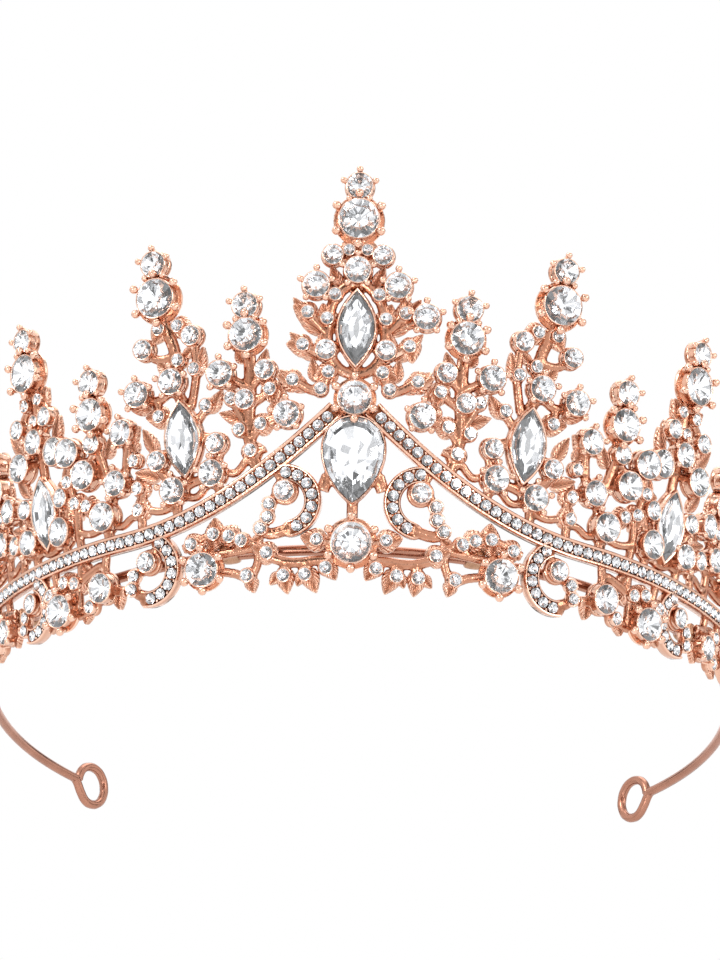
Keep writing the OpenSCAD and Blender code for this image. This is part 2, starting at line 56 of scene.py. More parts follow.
# Round stones, by the diameter of the stone
XL, L, M, S, XS, DOT, ROW = 6.5, 5.4, 4.8, 4.2, 3.2, 2, 1.8
GIRDLE, PAVILION, CULET = 0.05, 0.27, 0.14  # shares of the diameter of a round stone
ROUND_TURN, ROW_TURN = 2.4, 0.9  # from each stone to the next of its group, in radians
CLAWS = {S: 5, L: 6, XL: 6}
CLAW_ARM = 0.8  # thickness of a claw
CLAW_REACH = 0.65  # from the middle of the stone, as a share of its diameter

# Rails and scrolls: channels with a row of stones and beads between them
PITCH, SCROLL_PITCH = 1.95, 2.02  # from stone to stone
ROW_TOP = 0.42  # girdle of a row stone above the face of its channel
RAIL_START, RAIL_END, RAIL_LOW, RAIL_RISE, RAIL_RUN = 2.6, 86, 4.8, 18, 37.5
RAIL_CURVE = 2.2  # the power by which a rail flattens out
# half width, half slot, chamfer below, shoulder as an inset and a height, inset of the lip
RAIL_SECTION = (1.55, 0.98, 0.15, (0.04, 0.24), 0.38)
SCROLL_SECTION = (1.4, 0.96, 0.12, (0.05, 0.26), 0.36)
PRONG_R, PRONG_SIDE, PRONG_OUT = 0.27, 0.72, 0.25  # a bead: radius, off the middle, height
LEAD_IN, LEAD_OUT = 12, 8  # a scroll starts this far before its first stone and ends this
# far short of where the next stone after its last would be

# Castings
STEM_OUT, STEM_THICK = -0.78, 1.4  # middle of a stem, and how thick a wide one is left
STEM_GAIN = 0.5  # how much fuller a stem is cast than its listed width
BORE = -0.8  # floor of the bore of a seat
LEAF_OUT, LEAF_LONGER, LEAF_WIDER = -0.75, 1.08, 1.25
LEAF_RIBS = (0.10, 0.42, 0.0)  # height at the middle, along the rib and at the rim
LEAF_VEINS = 44  # in radians of the wave along a leaf
PEAR_UP, PEAR_W, PEAR_L = 14.5, 10, 14
MARQUISE_W, MARQUISE_L = 6, 12.4

# Headband wire, its eyes and the solder
RING_R, RING_Z, RING_TILT = 69.5, 8.2, 1.71
LOOP_ANGLE, LOOP_R, WIRE_R = 126, 3.9, 1
DRAWN_R = 0.92 * WIRE_R  # radius of the wire as drawn
EYE_BITE = 0.1  # how far the wire runs on into its eye
EYE_PATH = (
    (-0.1, -5.2, 0.1), (-0.1, -4.3, -0.5), (-0.1, -2.9, -2.3), (-0.1, -1.4, -3.7), (0, 0.3, -4),
    (0, 2.4, -3.3), (0, 3.8, -1.4), (0.1, 4, 0.8), (0.1, 3, 2.8), (0.1, 1.1, 3.9),
    (0.2, -0.9, 3.8), (0.2, -2.5, 2.8), (0.2, -3.3, 1.3), (0.2, -3.5, 0.3),
)
SADDLES = (0, -21, 21, -47, 47, -70, 70)  # places along the band
SOLDER_GRAIN, SOLDER_MELT = 0.00022, 6  # voxel in metres, and rounds of smoothing

# Studio: each lamp's name, place and width in metres, and power in watts
LAMPS = (
    ("key_softbox", (-0.45, -0.5, 0.5), 0.3, 2.2),
    ("fill_softbox", (0.6, -0.45, 0.15), 0.3, 1.2),
    ("low_softbox", (-0.25, -0.6, -0.25), 0.12, 0.45),
    ("spark_left", (-0.35, -0.6, 0.1), 0.07, 0.2),
    ("spark_right", (0.3, -0.65, -0.12), 0.09, 0.3),
    ("top_softbox", (0.1, 0.1, 0.8), 0.6, 2),
)
LAMP_AIM = Vector((0, -0.04, 0.03))  # in metres
CAMERA_PLACE = (-0.0013, -0.3896, -0.1421)  # in metres
CAMERA_ANGLES = (1.83, 27, 2)  # turn, rise and roll
CAMERA_LENS = 81.7

# Castings of one half, in millimetres along the band and up the lean.
# seats: (x, y, stone)   stems: (width, points)   leaves: (x, y, turn, length, width)
UNITS = {
    "leaf_spray": {
        "place": 7.5,
        "seats": [(-3.4, -3, DOT), (0, -4, DOT), (3.5, -4.1, DOT), (6.2, -0.4, DOT)],
        "stems": [
            (1.3, [(-4.6, -1.6), (-1.5, -1.8), (2.5, -2), (6.6, -0.8)]),
            (1.4, [(-3.9, -1.6), (-3.4, -3)]),
            (1.4, [(-0.2, -1.8), (0, -4)]),
            (1.4, [(3, -1.8), (3.5, -4.1)]),
        ],
        "leaves": [
            (-3.2, -2, -120, 3.4, 2.4), (0.2, -2.4, -113, 4.9, 2.8), (3.8, -2.2, -100, 4.9, 2.8),
            (0.4, -3.2, -70, 2.8, 1.8), (4, -3.4, -50, 2.8, 1.8),
        ],
    },
    "hem_inner": {
        "place": 21,
        "seats": [
            (-3.2, 2, DOT), (-1.2, 2.9, DOT), (1.5, 3.5, DOT), (5.4, 2.2, DOT),
            (3.6, -2.2, L), (-3.8, -3.8, DOT),
        ],
        "stems": [
            (1.3, [(-6.2, 0.6), (-3.2, 2), (1.6, 3.4), (5.4, 2.2), (7.2, 1.6)]),
            (1.1, [(-5.6, 0.4), (-5.4, -2), (-3.8, -3.9), (-1.4, -3.2), (1.2, -2.6)]),
            (1.1, [(-5.8, 0.6), (-2, 0.3), (1.8, 0)]),
            (1.2, [(-3.2, 2), (-2, 0.3)]),
            (1.2, [(3.8, 0.4), (5.4, 2.2)]),
        ],
        "leaves": [
            (-3.8, -3.8, -105, 2.9, 2.2), (2.4, 0.6, 100, 2.8, 2.2), (-4.6, 1.2, 150, 2.4, 1.8),
        ],
    },
    "hem_middle": {
        "place": 49,
        "seats": [
            (-4.8, -2, M), (-1.4, -4.4, DOT), (1.5, 0.4, DOT), (4, 1.1, DOT), (7.6, -0.3, DOT),
            (5.2, -3.6, L),
        ],
        "stems": [
            (1.6, [(-9, -3.6), (-4.8, -2.6), (-1.4, -4.3), (2, -4.8), (5.2, -3.8), (9, -4.2)]),
            (1.3, [(-4.8, 0), (-4.8, 1.6), (-1.4, 1.4), (1.5, 0.4), (4.2, 0.9), (7.6, -0.3),
                   (9.6, -1)]),
            (1.1, [(1.5, 0.4), (1.8, -4.8)]),
            (1.2, [(-5, 1.4), (-5.6, 3.5)]),
            (1.2, [(0.8, 0.8), (0.4, 3.5)]),
            (1.2, [(6.4, 0.2), (6.8, 3.5)]),
        ],
        "leaves": [
            (-7, -3, -100, 3.2, 2.4), (0.2, -4.6, -80, 2.2, 2), (7.8, -4, -65, 2.8, 2.2),
            (-1.4, 1.4, 60, 2.4, 2),
        ],
    },
    "hem_outer": {
        "place": 73.5,
        "seats": [(-2, -2.2, S), (1.6, -3.8, DOT), (1.2, 0.8, DOT), (4.4, -0.6, DOT)],
        "stems": [
            (1.5, [(-5.8, -3.2), (-2, -2.6), (1.6, -3.7), (5.4, -2.6)]),
            (1.3, [(-4.6, 0.4), (-2, 1), (1, 0.6), (4.4, -0.6), (5.4, -2.6)]),
            (1.1, [(1, 0.6), (1.6, -3.7)]),
            (1.2, [(-2, 0.4), (-1.6, 3.5)]),
            (1.2, [(3, 0), (3.2, 3.5)]),
        ],
        "leaves": [(-4, -2.8, -95, 2.9, 2.2), (2.8, -3.6, -75, 2.4, 2)],
    },
    "small_spire": {
        "place": 15.5,
        "seats": [
            (0, 40.5, S), (0, 35.6, L), (-2.8, 29.6, XS), (4.8, 29.6, S), (0.8, 25, XS),
            (-3.5, 26.4, DOT), (3.2, 25.4, DOT), (-6.2, 22, S), (-1.7, 20.8, DOT),
            (2, 20.2, DOT), (0.2, 16.6, DOT),
        ],
        "stems": [
            (1.8, [(-0.6, 13.4), (0.2, 16.6), (0.6, 20), (0.2, 25), (0, 31), (0, 38)]),
            (1.2, [(0.4, 24), (-3.5, 26.2)]),
            (1.1, [(0, 27), (-2.8, 29.6)]),
            (1.2, [(0.2, 27), (4.8, 29.6)]),
            (1.2, [(0.6, 20), (3.2, 25.4)]),
            (1.3, [(0.4, 18.5), (-1.7, 20.8), (-6.2, 22)]),
        ],
        "leaves": [
            (-6, 24.8, 40, 6, 2.6), (2.6, 26.6, 60, 4.2, 2.4), (-1.4, 29, 112, 4.4, 2),
            (1, 21.6, 20, 4.6, 2.2), (-3.6, 21.4, 100, 3.4, 2.2), (1, 31, 70, 3, 2),
        ],
    },
    "tall_spire": {
        "place": 26.5,
        "seats": [
            (2.7, 49.9, S), (2.6, 43.9, XL), (-0.6, 38.9, DOT), (2.9, 38.9, DOT), (-3, 36.8, XS),
            (5.9, 35.8, XS), (-0.2, 33.1, DOT), (1.2, 29.6, S), (7.6, 28.4, S), (-4.8, 13.4, S),
            (-5.9, 18.2, XS), (2.4, 11.5, S), (4.9, 16.8, XS), (-4.6, 24.8, DOT),
            (-3, 31.2, DOT), (4, 24.2, DOT),
        ],
        "stems": [
            (1.8, [(0, 26), (1.2, 29.6), (0.6, 34), (2.2, 40), (2.7, 48)]),
            (1.2, [(-1.6, 25), (-3, 31.2), (-3, 36.8)]),
            (1.2, [(0.6, 34), (4, 34), (5.9, 35.8)]),
            (1.3, [(1.2, 29), (4.6, 27), (7.6, 28.4)]),
            (1.2, [(-2.6, 22.6), (-4.6, 24.8)]),
            (1.2, [(2, 24), (4, 24.2), (4.6, 27)]),
            (1.4, [(-2.8, 20), (-5.9, 18.2), (-4.8, 13.4), (-5.6, 10)]),
            (1.4, [(2.6, 18.4), (4.9, 16.8), (2.4, 11.5), (2.4, 7.4)]),
            (1.3, [(-4.8, 13.4), (-1.2, 12.6), (2.4, 11.5)]),
        ],
        "leaves": [
            (-2.8, 30, 112, 5, 2.4), (-4.4, 23.4, 130, 4.6, 2.2), (5.4, 25.6, 18, 5, 2.2),
            (2, 31, 60, 3.6, 2.2), (5, 14, 20, 4.6, 2.4), (-0.6, 33.6, 150, 3, 1.8),
            (5.3, 18, 66, 5, 2.2),
        ],
        "marquise": 19.8,
    },
    "second_small_spire": {
        "place": 42.5,
        "seats": [
            (-0.4, 33.1, S), (0, 27.6, L), (0.7, 22.7, XS), (6, 22.4, M), (-5.9, 23, S),
            (3, 17.8, M), (-3.6, 14.8, S), (-0.2, 9.8, M), (-7.6, 17.8, DOT), (7, 17.6, DOT),
            (5.8, 13.6, DOT), (3.4, 12.6, DOT), (-7.8, 13, DOT), (-7.4, 9.4, DOT),
        ],
        "stems": [
            (1.8, [(-0.4, 31), (0, 27), (0.4, 22.6), (-0.6, 17), (-1.4, 12), (-0.2, 9.6), (0, 6)]),
            (1.3, [(0.4, 22.6), (3, 20.2), (6, 22.4)]),
            (1.3, [(-0.6, 17), (-3.6, 14.8), (-5.4, 18.6), (-5.9, 23)]),
            (1.3, [(3, 17.6), (-0.6, 17)]),
            (1.2, [(6, 22.4), (7, 17.6), (5.8, 13.6), (3.4, 12.6), (-0.2, 9.8)]),
            (1.2, [(-5, 17.6), (-7.6, 17.8)]),
            (1.3, [(-3.6, 14.8), (-7.8, 13), (-7.4, 9.4), (-7, 5.9)]),
            (1.2, [(5.8, 13.6), (6.4, 9.4), (6.2, 5.9)]),
        ],
        "leaves": [
            (-5.2, 20.4, 140, 4.8, 2.4), (4.8, 19.2, 40, 5, 2.2), (-6.6, 14.4, 160, 4, 2.2),
            (5.4, 10.6, 55, 4.4, 2.2), (-1, 19.6, 120, 4.2, 2.2), (-7.6, 19, 75, 3.6, 2),
        ],
    },
    "second_tall_spire": {
        "place": 56,
        "seats": [
            (0.4, 46, S), (0.4, 40, XL), (-1.5, 34.7, DOT), (2.2, 34.6, DOT), (-3, 31, XS),
            (4.7, 31, XS), (0.4, 27.4, S), (4.8, 24, M), (-4.7, 24, M), (-3.9, 9.8, M),
            (4.7, 10.4, S), (-4.8, 15.6, XS), (4.9, 16.4, XS), (0.3, 31.2, DOT),
        ],
        "stems": [
            (1.8, [(0, 20.5), (0.4, 27), (0.4, 33), (0.4, 44)]),
            (1.2, [(0.4, 28), (-3, 31), (-1.5, 34.7)]),
            (1.2, [(0.4, 28), (4.7, 31), (2.2, 34.6)]),
            (1.4, [(0.2, 24), (-4.7, 24)]),
            (1.4, [(0.2, 24), (4.8, 24)]),
            (1.4, [(-2.6, 15), (-4.8, 15.6), (-3.9, 9.8), (-3.6, 5.9)]),
            (1.4, [(2.6, 16), (4.9, 16.4), (4.7, 10.4), (4.4, 5.9)]),
            (1.3, [(-3.9, 9.8), (0, 7.4), (4.7, 10.4)]),
        ],
        "leaves": [
            (-3.4, 26, 118, 5, 2.4), (5, 26, 60, 5.4, 2.4), (-4.8, 17.6, 115, 4.6, 2.2),
            (5, 18.6, 65, 4.6, 2.2), (5.6, 12.6, 20, 4.4, 2.2),
        ],
        "marquise": 14.3,
    },
    "end_spire": {
        "place": 70,
        "seats": [
            (0, 28.6, S), (0, 23.4, M), (-3.6, 18.4, S), (4.1, 17, XS), (0, 13.4, S),
            (-4.6, 11.6, XS), (4.8, 10, XS), (8.6, 9.2, XS), (11.8, 8.2, DOT), (0.2, 18.4, DOT),
        ],
        "stems": [
            (1.7, [(0, 26), (0, 18), (0.2, 13.4), (0, 5.9)]),
            (1.2, [(0, 16), (-3.6, 18.4)]),
            (1.2, [(0, 15), (4.1, 17)]),
            (1.3, [(-4.8, 5.9), (-4.6, 11.6), (0.2, 11), (4.8, 10), (8.6, 9.2), (12, 8),
                   (12.4, 5.9)]),
        ],
        "leaves": [
            (-4.8, 13.4, 120, 4.4, 2.2), (4.8, 12, 65, 4.6, 2.2), (8.8, 10.4, 55, 4.2, 2.2),
            (1.2, 19.4, 60, 4, 2.2), (-1, 20, 125, 4, 2.2),
        ],
    },
}

# How far the branch at the foot of each spire runs to its left and right
FEET = {
    "small_spire": (-2.2, 4.4), "tall_spire": (-5.6, 7.4), "second_small_spire": (-7.6, 6.4),
    "second_tall_spire": (-6.4, 6.6), "end_spire": (-6.6, 9),
}

# The crest over the apex: both halves are alike, with one more stone on the right arm
CREST_SEATS = [(0, 59.6, S), (0, 54, XL), (0, 45.6, S), (11.4, 38, S)]
CREST_SIDE_SEATS = [
    (1.5, 49, ROW), (4.1, 48.1, XS), (6.7, 43.1, S), (3.6, 41.6, DOT), (4.8, 37.6, DOT),
    (8, 38.6, DOT), (4.9, 32.4, XS), (8.7, 33.2, DOT), (4.4, 28.8, DOT), (5.6, 26, DOT),
    (10.2, 27.4, DOT),
]
CREST_STEMS = [(2.6, [(0, 43.4), (0, 58)]), (1.2, [(8, 36.6), (11.4, 38)])]
CREST_SIDE_STEMS = [
    (1.5, [(0, 28.3), (2.8, 29.6), (4.5, 33), (4.6, 37), (3.6, 41), (0, 44.6)]),
    (1.2, [(3.6, 41), (6.7, 43.1)]),
    (1.2, [(0, 46.4), (4.1, 48.1)]),
    (1.2, [(4.6, 35), (8, 38.6)]),
    (1.3, [(4.4, 31), (8.7, 33.2)]),
    (1.3, [(2.8, 29.6), (4.4, 28.8), (5.6, 26), (10.2, 27.4)]),
]
CREST_SIDE_LEAVES = [
    (5.4, 34.6, 52, 8, 2.8), (6, 30.6, 44, 6.6, 2.6), (7.4, 25.6, 34, 6, 2.6),
    (2.6, 42.4, 66, 4.4, 2), (6, 31.6, 100, 4, 2), (6.4, 27, 80, 4, 2),
]
CREST_MARQUISE = 36

PANEL_SEATS = [(0, 24.5, L), (0, 1, XL)]
PANEL_SIDE_SEATS = [(5.6, 1.5, DOT)]
PANEL_STEMS = [(1.5, [(0, 8), (0, 3)])]
PANEL_SIDE_STEMS = [(1.3, [(2.8, 1), (5.6, 1.5)]), (1.8, [(4, 12), (4.9, 9.4)])]

# place along the band, height, radius, first angle, stones, eye stone, eye, tail stones
SCROLLS = {
    "inner_scroll": (10.6, 8, 4.6, 94, 7, XS, (0, 1.6), [(2.6, -0.4), (2.9, -2.5), (4.1, -4.3)]),
    "middle_scroll": (35, -0.6, 4.9, 126, 7, XS, (-0.2, 1.2), [(2.7, -0.6), (3.4, -2.7)]),
    "outer_scroll": (62.6, -0.9, 4.5, 122, 7, XS, (-0.2, 1), [(2.5, -0.7), (3.1, -2.8)]),
    "end_scroll": (83, 0.2, 3.7, 118, 6, DOT, (0.4, 0.6), [(2.4, -1.2)]),
}


# ------------------------------------------------------------------ sizes and finishes

class TiaraSizes(bpy.types.PropertyGroup):
    band_radius: FloatProperty(
        name="Band radius", description="Radius of the jewelled face at the band line",
        default=0.073, min=0.06, max=0.09, subtype="DISTANCE", unit="LENGTH")
    band_height: FloatProperty(
        name="Band height", description="Height of the band line above the table",
        default=0.0067, min=0.004, max=0.02, subtype="DISTANCE", unit="LENGTH")
    flare: FloatProperty(
        name="Flare", description="Outward lean of the crest at the front",
        default=math.radians(20), min=0, max=math.radians(35), subtype="ANGLE")
    grain: FloatProperty(
        name="Casting grain", description="Finest step kept when the stems are melted together",
        default=0.0002, min=0.0001, max=0.0006, subtype="DISTANCE", unit="LENGTH")
    melt: IntProperty(
        name="Melt", description="How softly the stems run into each other",
        default=3, min=0, max=12)
    claw_ball: FloatProperty(
        name="Claw ball", description="Radius of the ball on the end of each claw",
        default=0.00062, min=0.0003, max=0.001, subtype="DISTANCE", unit="LENGTH")
    table_share: FloatProperty(
        name="Table", description="Width of a stone's table as a share of the stone",
        default=0.56, min=0.4, max=0.7, subtype="FACTOR")


class TiaraFinishes(bpy.types.PropertyGroup):
    plating: FloatVectorProperty(
        name="Plating", description="Polished rose gold on the castings",
        default=(0.43, 0.20, 0.125), size=3, min=0, max=1, subtype="COLOR")
    # Painted shade: a darker rose gold laid into the hollows of the castings, where shade would
    # fall
    painted_recess_shade: FloatVectorProperty(
        name="Recesses", description="Rose gold down in the hollows of the castings",
        default=(0.16, 0.045, 0.018), size=3, min=0, max=1, subtype="COLOR")
    # Painted highlight: a paler rose gold laid on the raised edges, where light would catch
    edge: FloatVectorProperty(
        name="Edges", description="Rose gold rubbed bright on the raised edges",
        default=(0.80, 0.54, 0.42), size=3, min=0, max=1, subtype="COLOR")
    wire: FloatVectorProperty(
        name="Wire", description="Plated headband wire",
        default=(0.40, 0.19, 0.13), size=3, min=0, max=1, subtype="COLOR")
    solder: FloatVectorProperty(
        name="Solder", description="Solder that holds the castings to the wire",
        default=(0.48, 0.27, 0.17), size=3, min=0, max=1, subtype="COLOR")
    crystal: FloatVectorProperty(
        name="Crystal", description="Clear glass of the stones",
        default=(0.97, 0.98, 1.0), size=3, min=0, max=1, subtype="COLOR")
    foil: FloatVectorProperty(
        name="Foil", description="Silver foil on the back of the stones",
        default=(0.96, 0.965, 0.975), size=3, min=0, max=1, subtype="COLOR")
    floor: FloatVectorProperty(
        name="Floor", description="Pale studio floor",
        default=(0.86, 0.86, 0.86), size=3, min=0, max=1, subtype="COLOR")


def sizes():
    return bpy.context.scene.tiara_sizes


def finishes():
    return bpy.context.scene.tiara_finishes


# ------------------------------------------------------------------ places on the face

def at(x, y, out=0.0):
    """A shift in the plane of a flat casting, in millimetres."""
    return Matrix.Translation((x * MM, y * MM, out * MM))


def lean_at(s):
    return sizes().flare * math.cos(s * MM / sizes().band_radius)


def face_matrix(s, h=0.0, turn=0.0):
    """From a flat casting, X along the band, Y up and Z out, to its place on the tiara."""
    to_face = Matrix.Rotation(s * MM / sizes().band_radius, 4, "Z")
    to_face @= Matrix.Translation((0, -sizes().band_radius, sizes().band_height))
    to_face @= Matrix.Rotation(math.pi / 2 + lean_at(s), 4, "X")
    return to_face @ at(0, h) @ Matrix.Rotation(turn, 4, "Z")


def face_point(s, h, out):
    """A point of the curved face, for what runs along it."""
    turn, lean = s * MM / sizes().band_radius, lean_at(s)
    radius = sizes().band_radius + (h * math.sin(lean) + out * math.cos(lean)) * MM
    height = sizes().band_height + (h * math.cos(lean) - out * math.sin(lean)) * MM
    return Vector((radius * math.sin(turn), -radius * math.cos(turn), height))


def ring_matrix():
    """From a level ring round the Z axis to the tilted plane of the headband wire."""
    return (Matrix.Translation((0, -RING_R * MM, RING_Z * MM))
            @ Matrix.Rotation(math.radians(-RING_TILT), 4, "X")
            @ Matrix.Translation((0, RING_R * MM, 0)))


def other_side(place):
    """The same place on the other half of the tiara."""
    flip = Matrix.Diagonal((-1, 1, 1, 1))
    return flip @ place @ flip


def fall_left(s):
    """How much of the rail's fall is still to come, from 1 at the apex down to 0."""
    return 1 - min(1, (s - RAIL_START) / RAIL_RUN)


def rail_height(s):
    return RAIL_LOW + RAIL_RISE * fall_left(s) ** RAIL_CURVE


def rail_slope(s):
    return -RAIL_CURVE * RAIL_RISE / RAIL_RUN * fall_left(s) ** (RAIL_CURVE - 1)


def rail_places(step):
    """Places along the band, an equal step apart along the rail."""
    places, s = [], RAIL_START
    while s < RAIL_END:
        places.append(s)
        s += step / math.hypot(1, rail_slope(s))
    return places


def rail_point(s, across, out):
    """A point of the rail, across its run and out of its face."""
    slope = rail_slope(s)
    run = math.hypot(1, slope)
    return face_point(s - slope * across / run, rail_height(s) + across / run, out)


def seat_top(d):
    """Height of the girdle of a round stone above the face."""
    return 0.1 + 0.22 * d


def mirrored_seats(seats):
    return [(-x, y, d) for x, y, d in seats]


def mirrored_stems(stems):
    return [(width, [(-x, y) for x, y in points]) for width, points in stems]


def mirrored_leaves(leaves):
    return [(-x, y, 180 - turn, length, width) for x, y, turn, length, width in leaves]


def crest_seats():
    return CREST_SEATS + CREST_SIDE_SEATS + mirrored_seats(CREST_SIDE_SEATS)


def panel_seats():
    return PANEL_SEATS + PANEL_SIDE_SEATS + mirrored_seats(PANEL_SIDE_SEATS)


# ------------------------------------------------------------------ modelling by hand

def deselect():
    if bpy.context.object and bpy.context.object.mode != "OBJECT":
        bpy.ops.object.mode_set(mode="OBJECT")
    bpy.ops.object.select_all(action="DESELECT")


def pick(*parts):
    deselect()
    for part in parts:
        part.select_set(True)
    bpy.context.view_layer.objects.active = parts[0]


def copy_of(part, matrix=None):
    """A copy with its own mesh."""
    made = part.copy()
    made.data = part.data.copy()
    bpy.context.scene.collection.objects.link(made)
    if matrix is not None:
        made.matrix_world = matrix @ part.matrix_world
    return made


def drop(part):
    bpy.data.objects.remove(part)


def gather(name, parts):
    """Applies the parts' places and joins them into one object."""
    pick(*parts)
    bpy.ops.object.transform_apply(location=True, rotation=True, scale=True)
    if len(parts) > 1:
        bpy.ops.object.join()
    parts[0].name = name
    parts[0].data.name = name
    return parts[0]


def settle(part, place):
    """Sets the part in its place on the tiara, and keeps the place in its mesh."""
    part.matrix_world = place
    return gather(part.name, [part])


def edit(part):
    pick(part)
    bpy.ops.object.mode_set(mode="EDIT")
    bpy.ops.mesh.select_all(action="SELECT")


def done():
    bpy.ops.object.mode_set(mode="OBJECT")


def face_outwards(part):
    edit(part)
    bpy.ops.mesh.remove_doubles(threshold=0.000001)
    bpy.ops.mesh.normals_make_consistent(inside=False)
    done()


def add_modifier(part, kind, **settings):
    """Adds a modifier and applies it."""
    pick(part)
    made = part.modifiers.new(kind.lower(), kind)
    for key, value in settings.items():
        setattr(made, key, value)
    bpy.ops.object.modifier_apply(modifier=made.name)


def melted(name, parts, grain, melt):
    """Runs crossing parts together into one casting with soft corners."""
    made = gather(name, parts)
    add_modifier(made, "REMESH", mode="VOXEL", voxel_size=grain, adaptivity=0)
    if melt:
        add_modifier(made, "SMOOTH", factor=0.5, iterations=melt)
    return made


def soften(part, angle):
    pick(part)
    bpy.ops.object.shade_smooth_by_angle(angle=math.radians(angle))


def polar(radius, angle):
    return radius * math.cos(angle), radius * math.sin(angle)


def round_ring(sides):
    return [polar(0.5, 2 * math.pi * i / sides) for i in range(sides)]


def marquise_ring(steps):
    """Two arcs that meet in a point above and below, of unit width and length."""
    ring = []
    for i in range(2 * steps):
        u = 1 - 2 * i / steps if i < steps else 2 * (i - steps) / steps - 1
        ring.append(((1 if i < steps else -1) * 0.5 * (1 - u * u), 0.5 * u))
    return ring


def pear_ring(steps):
    """A drop with its point below, of unit width and length."""
    ring = []
    for i in range(steps):
        a = 2 * math.pi * i / steps
        ring.append((0.595 * math.sin(a) * abs(math.cos(a / 2)) ** 0.6, 0.5 * math.cos(a)))
    return ring


def outline(points, filled=True):
    """A closed outline through its points."""
    deselect()
    bpy.ops.mesh.primitive_circle_add(
        vertices=len(points), radius=1, fill_type="NGON" if filled else "NOTHING")
    part = bpy.context.object
    for vertex, point in zip(part.data.vertices, points):
        vertex.co = point
    return part


def stacked(name, ring, stations, filled=False):
    """A ring of edges, extruded and resized through its stations of width, length and height."""
    width, length, height = stations[0]
    part = outline([(x * width * MM, y * length * MM, height * MM) for x, y in ring], filled)
    part.name = name
    edit(part)
    for w, l, z in stations[1:]:
        bpy.ops.mesh.extrude_region_move(
            TRANSFORM_OT_translate={"value": (0, 0, (z - height) * MM)})
        bpy.ops.transform.resize(value=(w / width, l / length, 1), center_override=(0, 0, 0))
        width, length, height = w, l, z
    done()
    face_outwards(part)
    return part


def turned(name, profile, sides, filled=False):
    """A shape turned on a lathe: stations of diameter and height."""
    return stacked(name, round_ring(sides), [(d, d, z) for d, z in profile], filled)


def swept(places, radius, fineness, steps):
    """A round bar that runs smoothly through its places."""
    deselect()
    bpy.ops.curve.primitive_bezier_curve_add(location=(0, 0, 0))
    curve = bpy.context.object.data
    spline = curve.splines[0]
    spline.bezier_points.add(len(places) - 2)
    for knot, place in zip(spline.bezier_points, places):
        knot.co = place
        knot.handle_left_type = knot.handle_right_type = "AUTO"
    curve.bevel_depth = radius
    curve.bevel_resolution = fineness
    curve.resolution_u = steps
    curve.use_fill_caps = True
    bpy.ops.object.convert(target="MESH")
    return bpy.context.object


def stem(width, points, out=STEM_OUT):
    """A cast stem through its points: round, and flattened where it is wider than it is thick."""
    part = swept([(x * MM, y * MM, out * MM) for x, y in points], width / 2 * MM, 2, 6)
    if width > STEM_THICK:
        edit(part)
        bpy.ops.transform.resize(
            value=(1, 1, STEM_THICK / width), center_override=(0, 0, out * MM))
        done()
    return part


def beads(places, radius):
    """Small balls at their places, each a copy of one."""
    deselect()
    bpy.ops.mesh.primitive_ico_sphere_add(subdivisions=1, radius=radius)
    ball = bpy.context.object
    made = [copy_of(ball, Matrix.Translation(place)) for place in places]
    drop(ball)
    return made


def other_hand(part, name):
    """The same piece for the other half of the tiara."""
    made = copy_of(part)
    made.name = name
    made.data.name = name
    edit(made)
    bpy.ops.transform.resize(value=(-1, 1, 1), center_override=(0, 0, 0))
    bpy.ops.mesh.flip_normals()
    done()
    return made


# ------------------------------------------------------------------ finishes

def feed(tree, socket, value):
    """Sets a socket to a value, or links it to the socket that the value comes from."""
    if isinstance(value, bpy.types.NodeSocket):
        tree.links.new(value, socket)
    else:
        socket.default_value = value


def noise(tree, scale, detail, rough=0.5):
    place = tree.nodes.new("ShaderNodeTexCoord")
    made = tree.nodes.new("ShaderNodeTexNoise")
    made.inputs["Scale"].default_value = scale
    made.inputs["Detail"].default_value = detail
    made.inputs["Roughness"].default_value = rough
    tree.links.new(place.outputs["Object"], made.inputs["Vector"])
    return made.outputs["Fac"]


def grey(value):
    return (value, value, value)


def shade(colour, share):
    return tuple(share * c for c in colour)


def ramp(tree, source, *stops):
    """Colours laid along a value, each stop a place and a colour."""
    made = tree.nodes.new("ShaderNodeValToRGB")
    elements = made.color_ramp.elements
    while len(elements) < len(stops):
        elements.new(0.5)
    for element, (place, colour) in zip(elements, stops):
        element.position = place
        element.color = (*colour, 1)
    tree.links.new(source, made.inputs["Fac"])
    return made.outputs["Color"]


def clouded(tree, socket, grain, low, high):
    """Varies a socket between two colours, in clouds of that grain."""
    tree.links.new(ramp(tree, noise(tree, *grain), low, high), socket)


def mix(tree, factor, a, b, kind="MIX"):
    made = tree.nodes.new("ShaderNodeMix")
    made.data_type = "RGBA"
    made.blend_type = kind
    feed(tree, made.inputs[0], factor)
    for socket, value in ((made.inputs[6], a), (made.inputs[7], b)):
        feed(tree, socket, value if isinstance(value, bpy.types.NodeSocket) else (*value, 1))
    return made.outputs[2]


def bump(tree, height, strength, distance, before=None):
    made = tree.nodes.new("ShaderNodeBump")
    made.inputs["Strength"].default_value = strength
    made.inputs["Distance"].default_value = distance
    tree.links.new(height, made.inputs["Height"])
    if before is not None:
        tree.links.new(before, made.inputs["Normal"])
    return made.outputs["Normal"]


def reckon(tree, operation, *values):
    """One step of arithmetic; each value is a number or the socket that it comes from."""
    made = tree.nodes.new("ShaderNodeMath")
    made.operation = operation
    for socket, value in zip(made.inputs, values):
        feed(tree, socket, value)
    return made.outputs[0]


def look(name, lay, *settings):
    """The material of that name, whose nodes are laid when it is first asked for."""
    made = bpy.data.materials.get(name)
    if made is None:
        made = bpy.data.materials.new(name)
        made.use_nodes = True
        lay(made.node_tree, made.node_tree.nodes["Principled BSDF"], *settings)
    return made


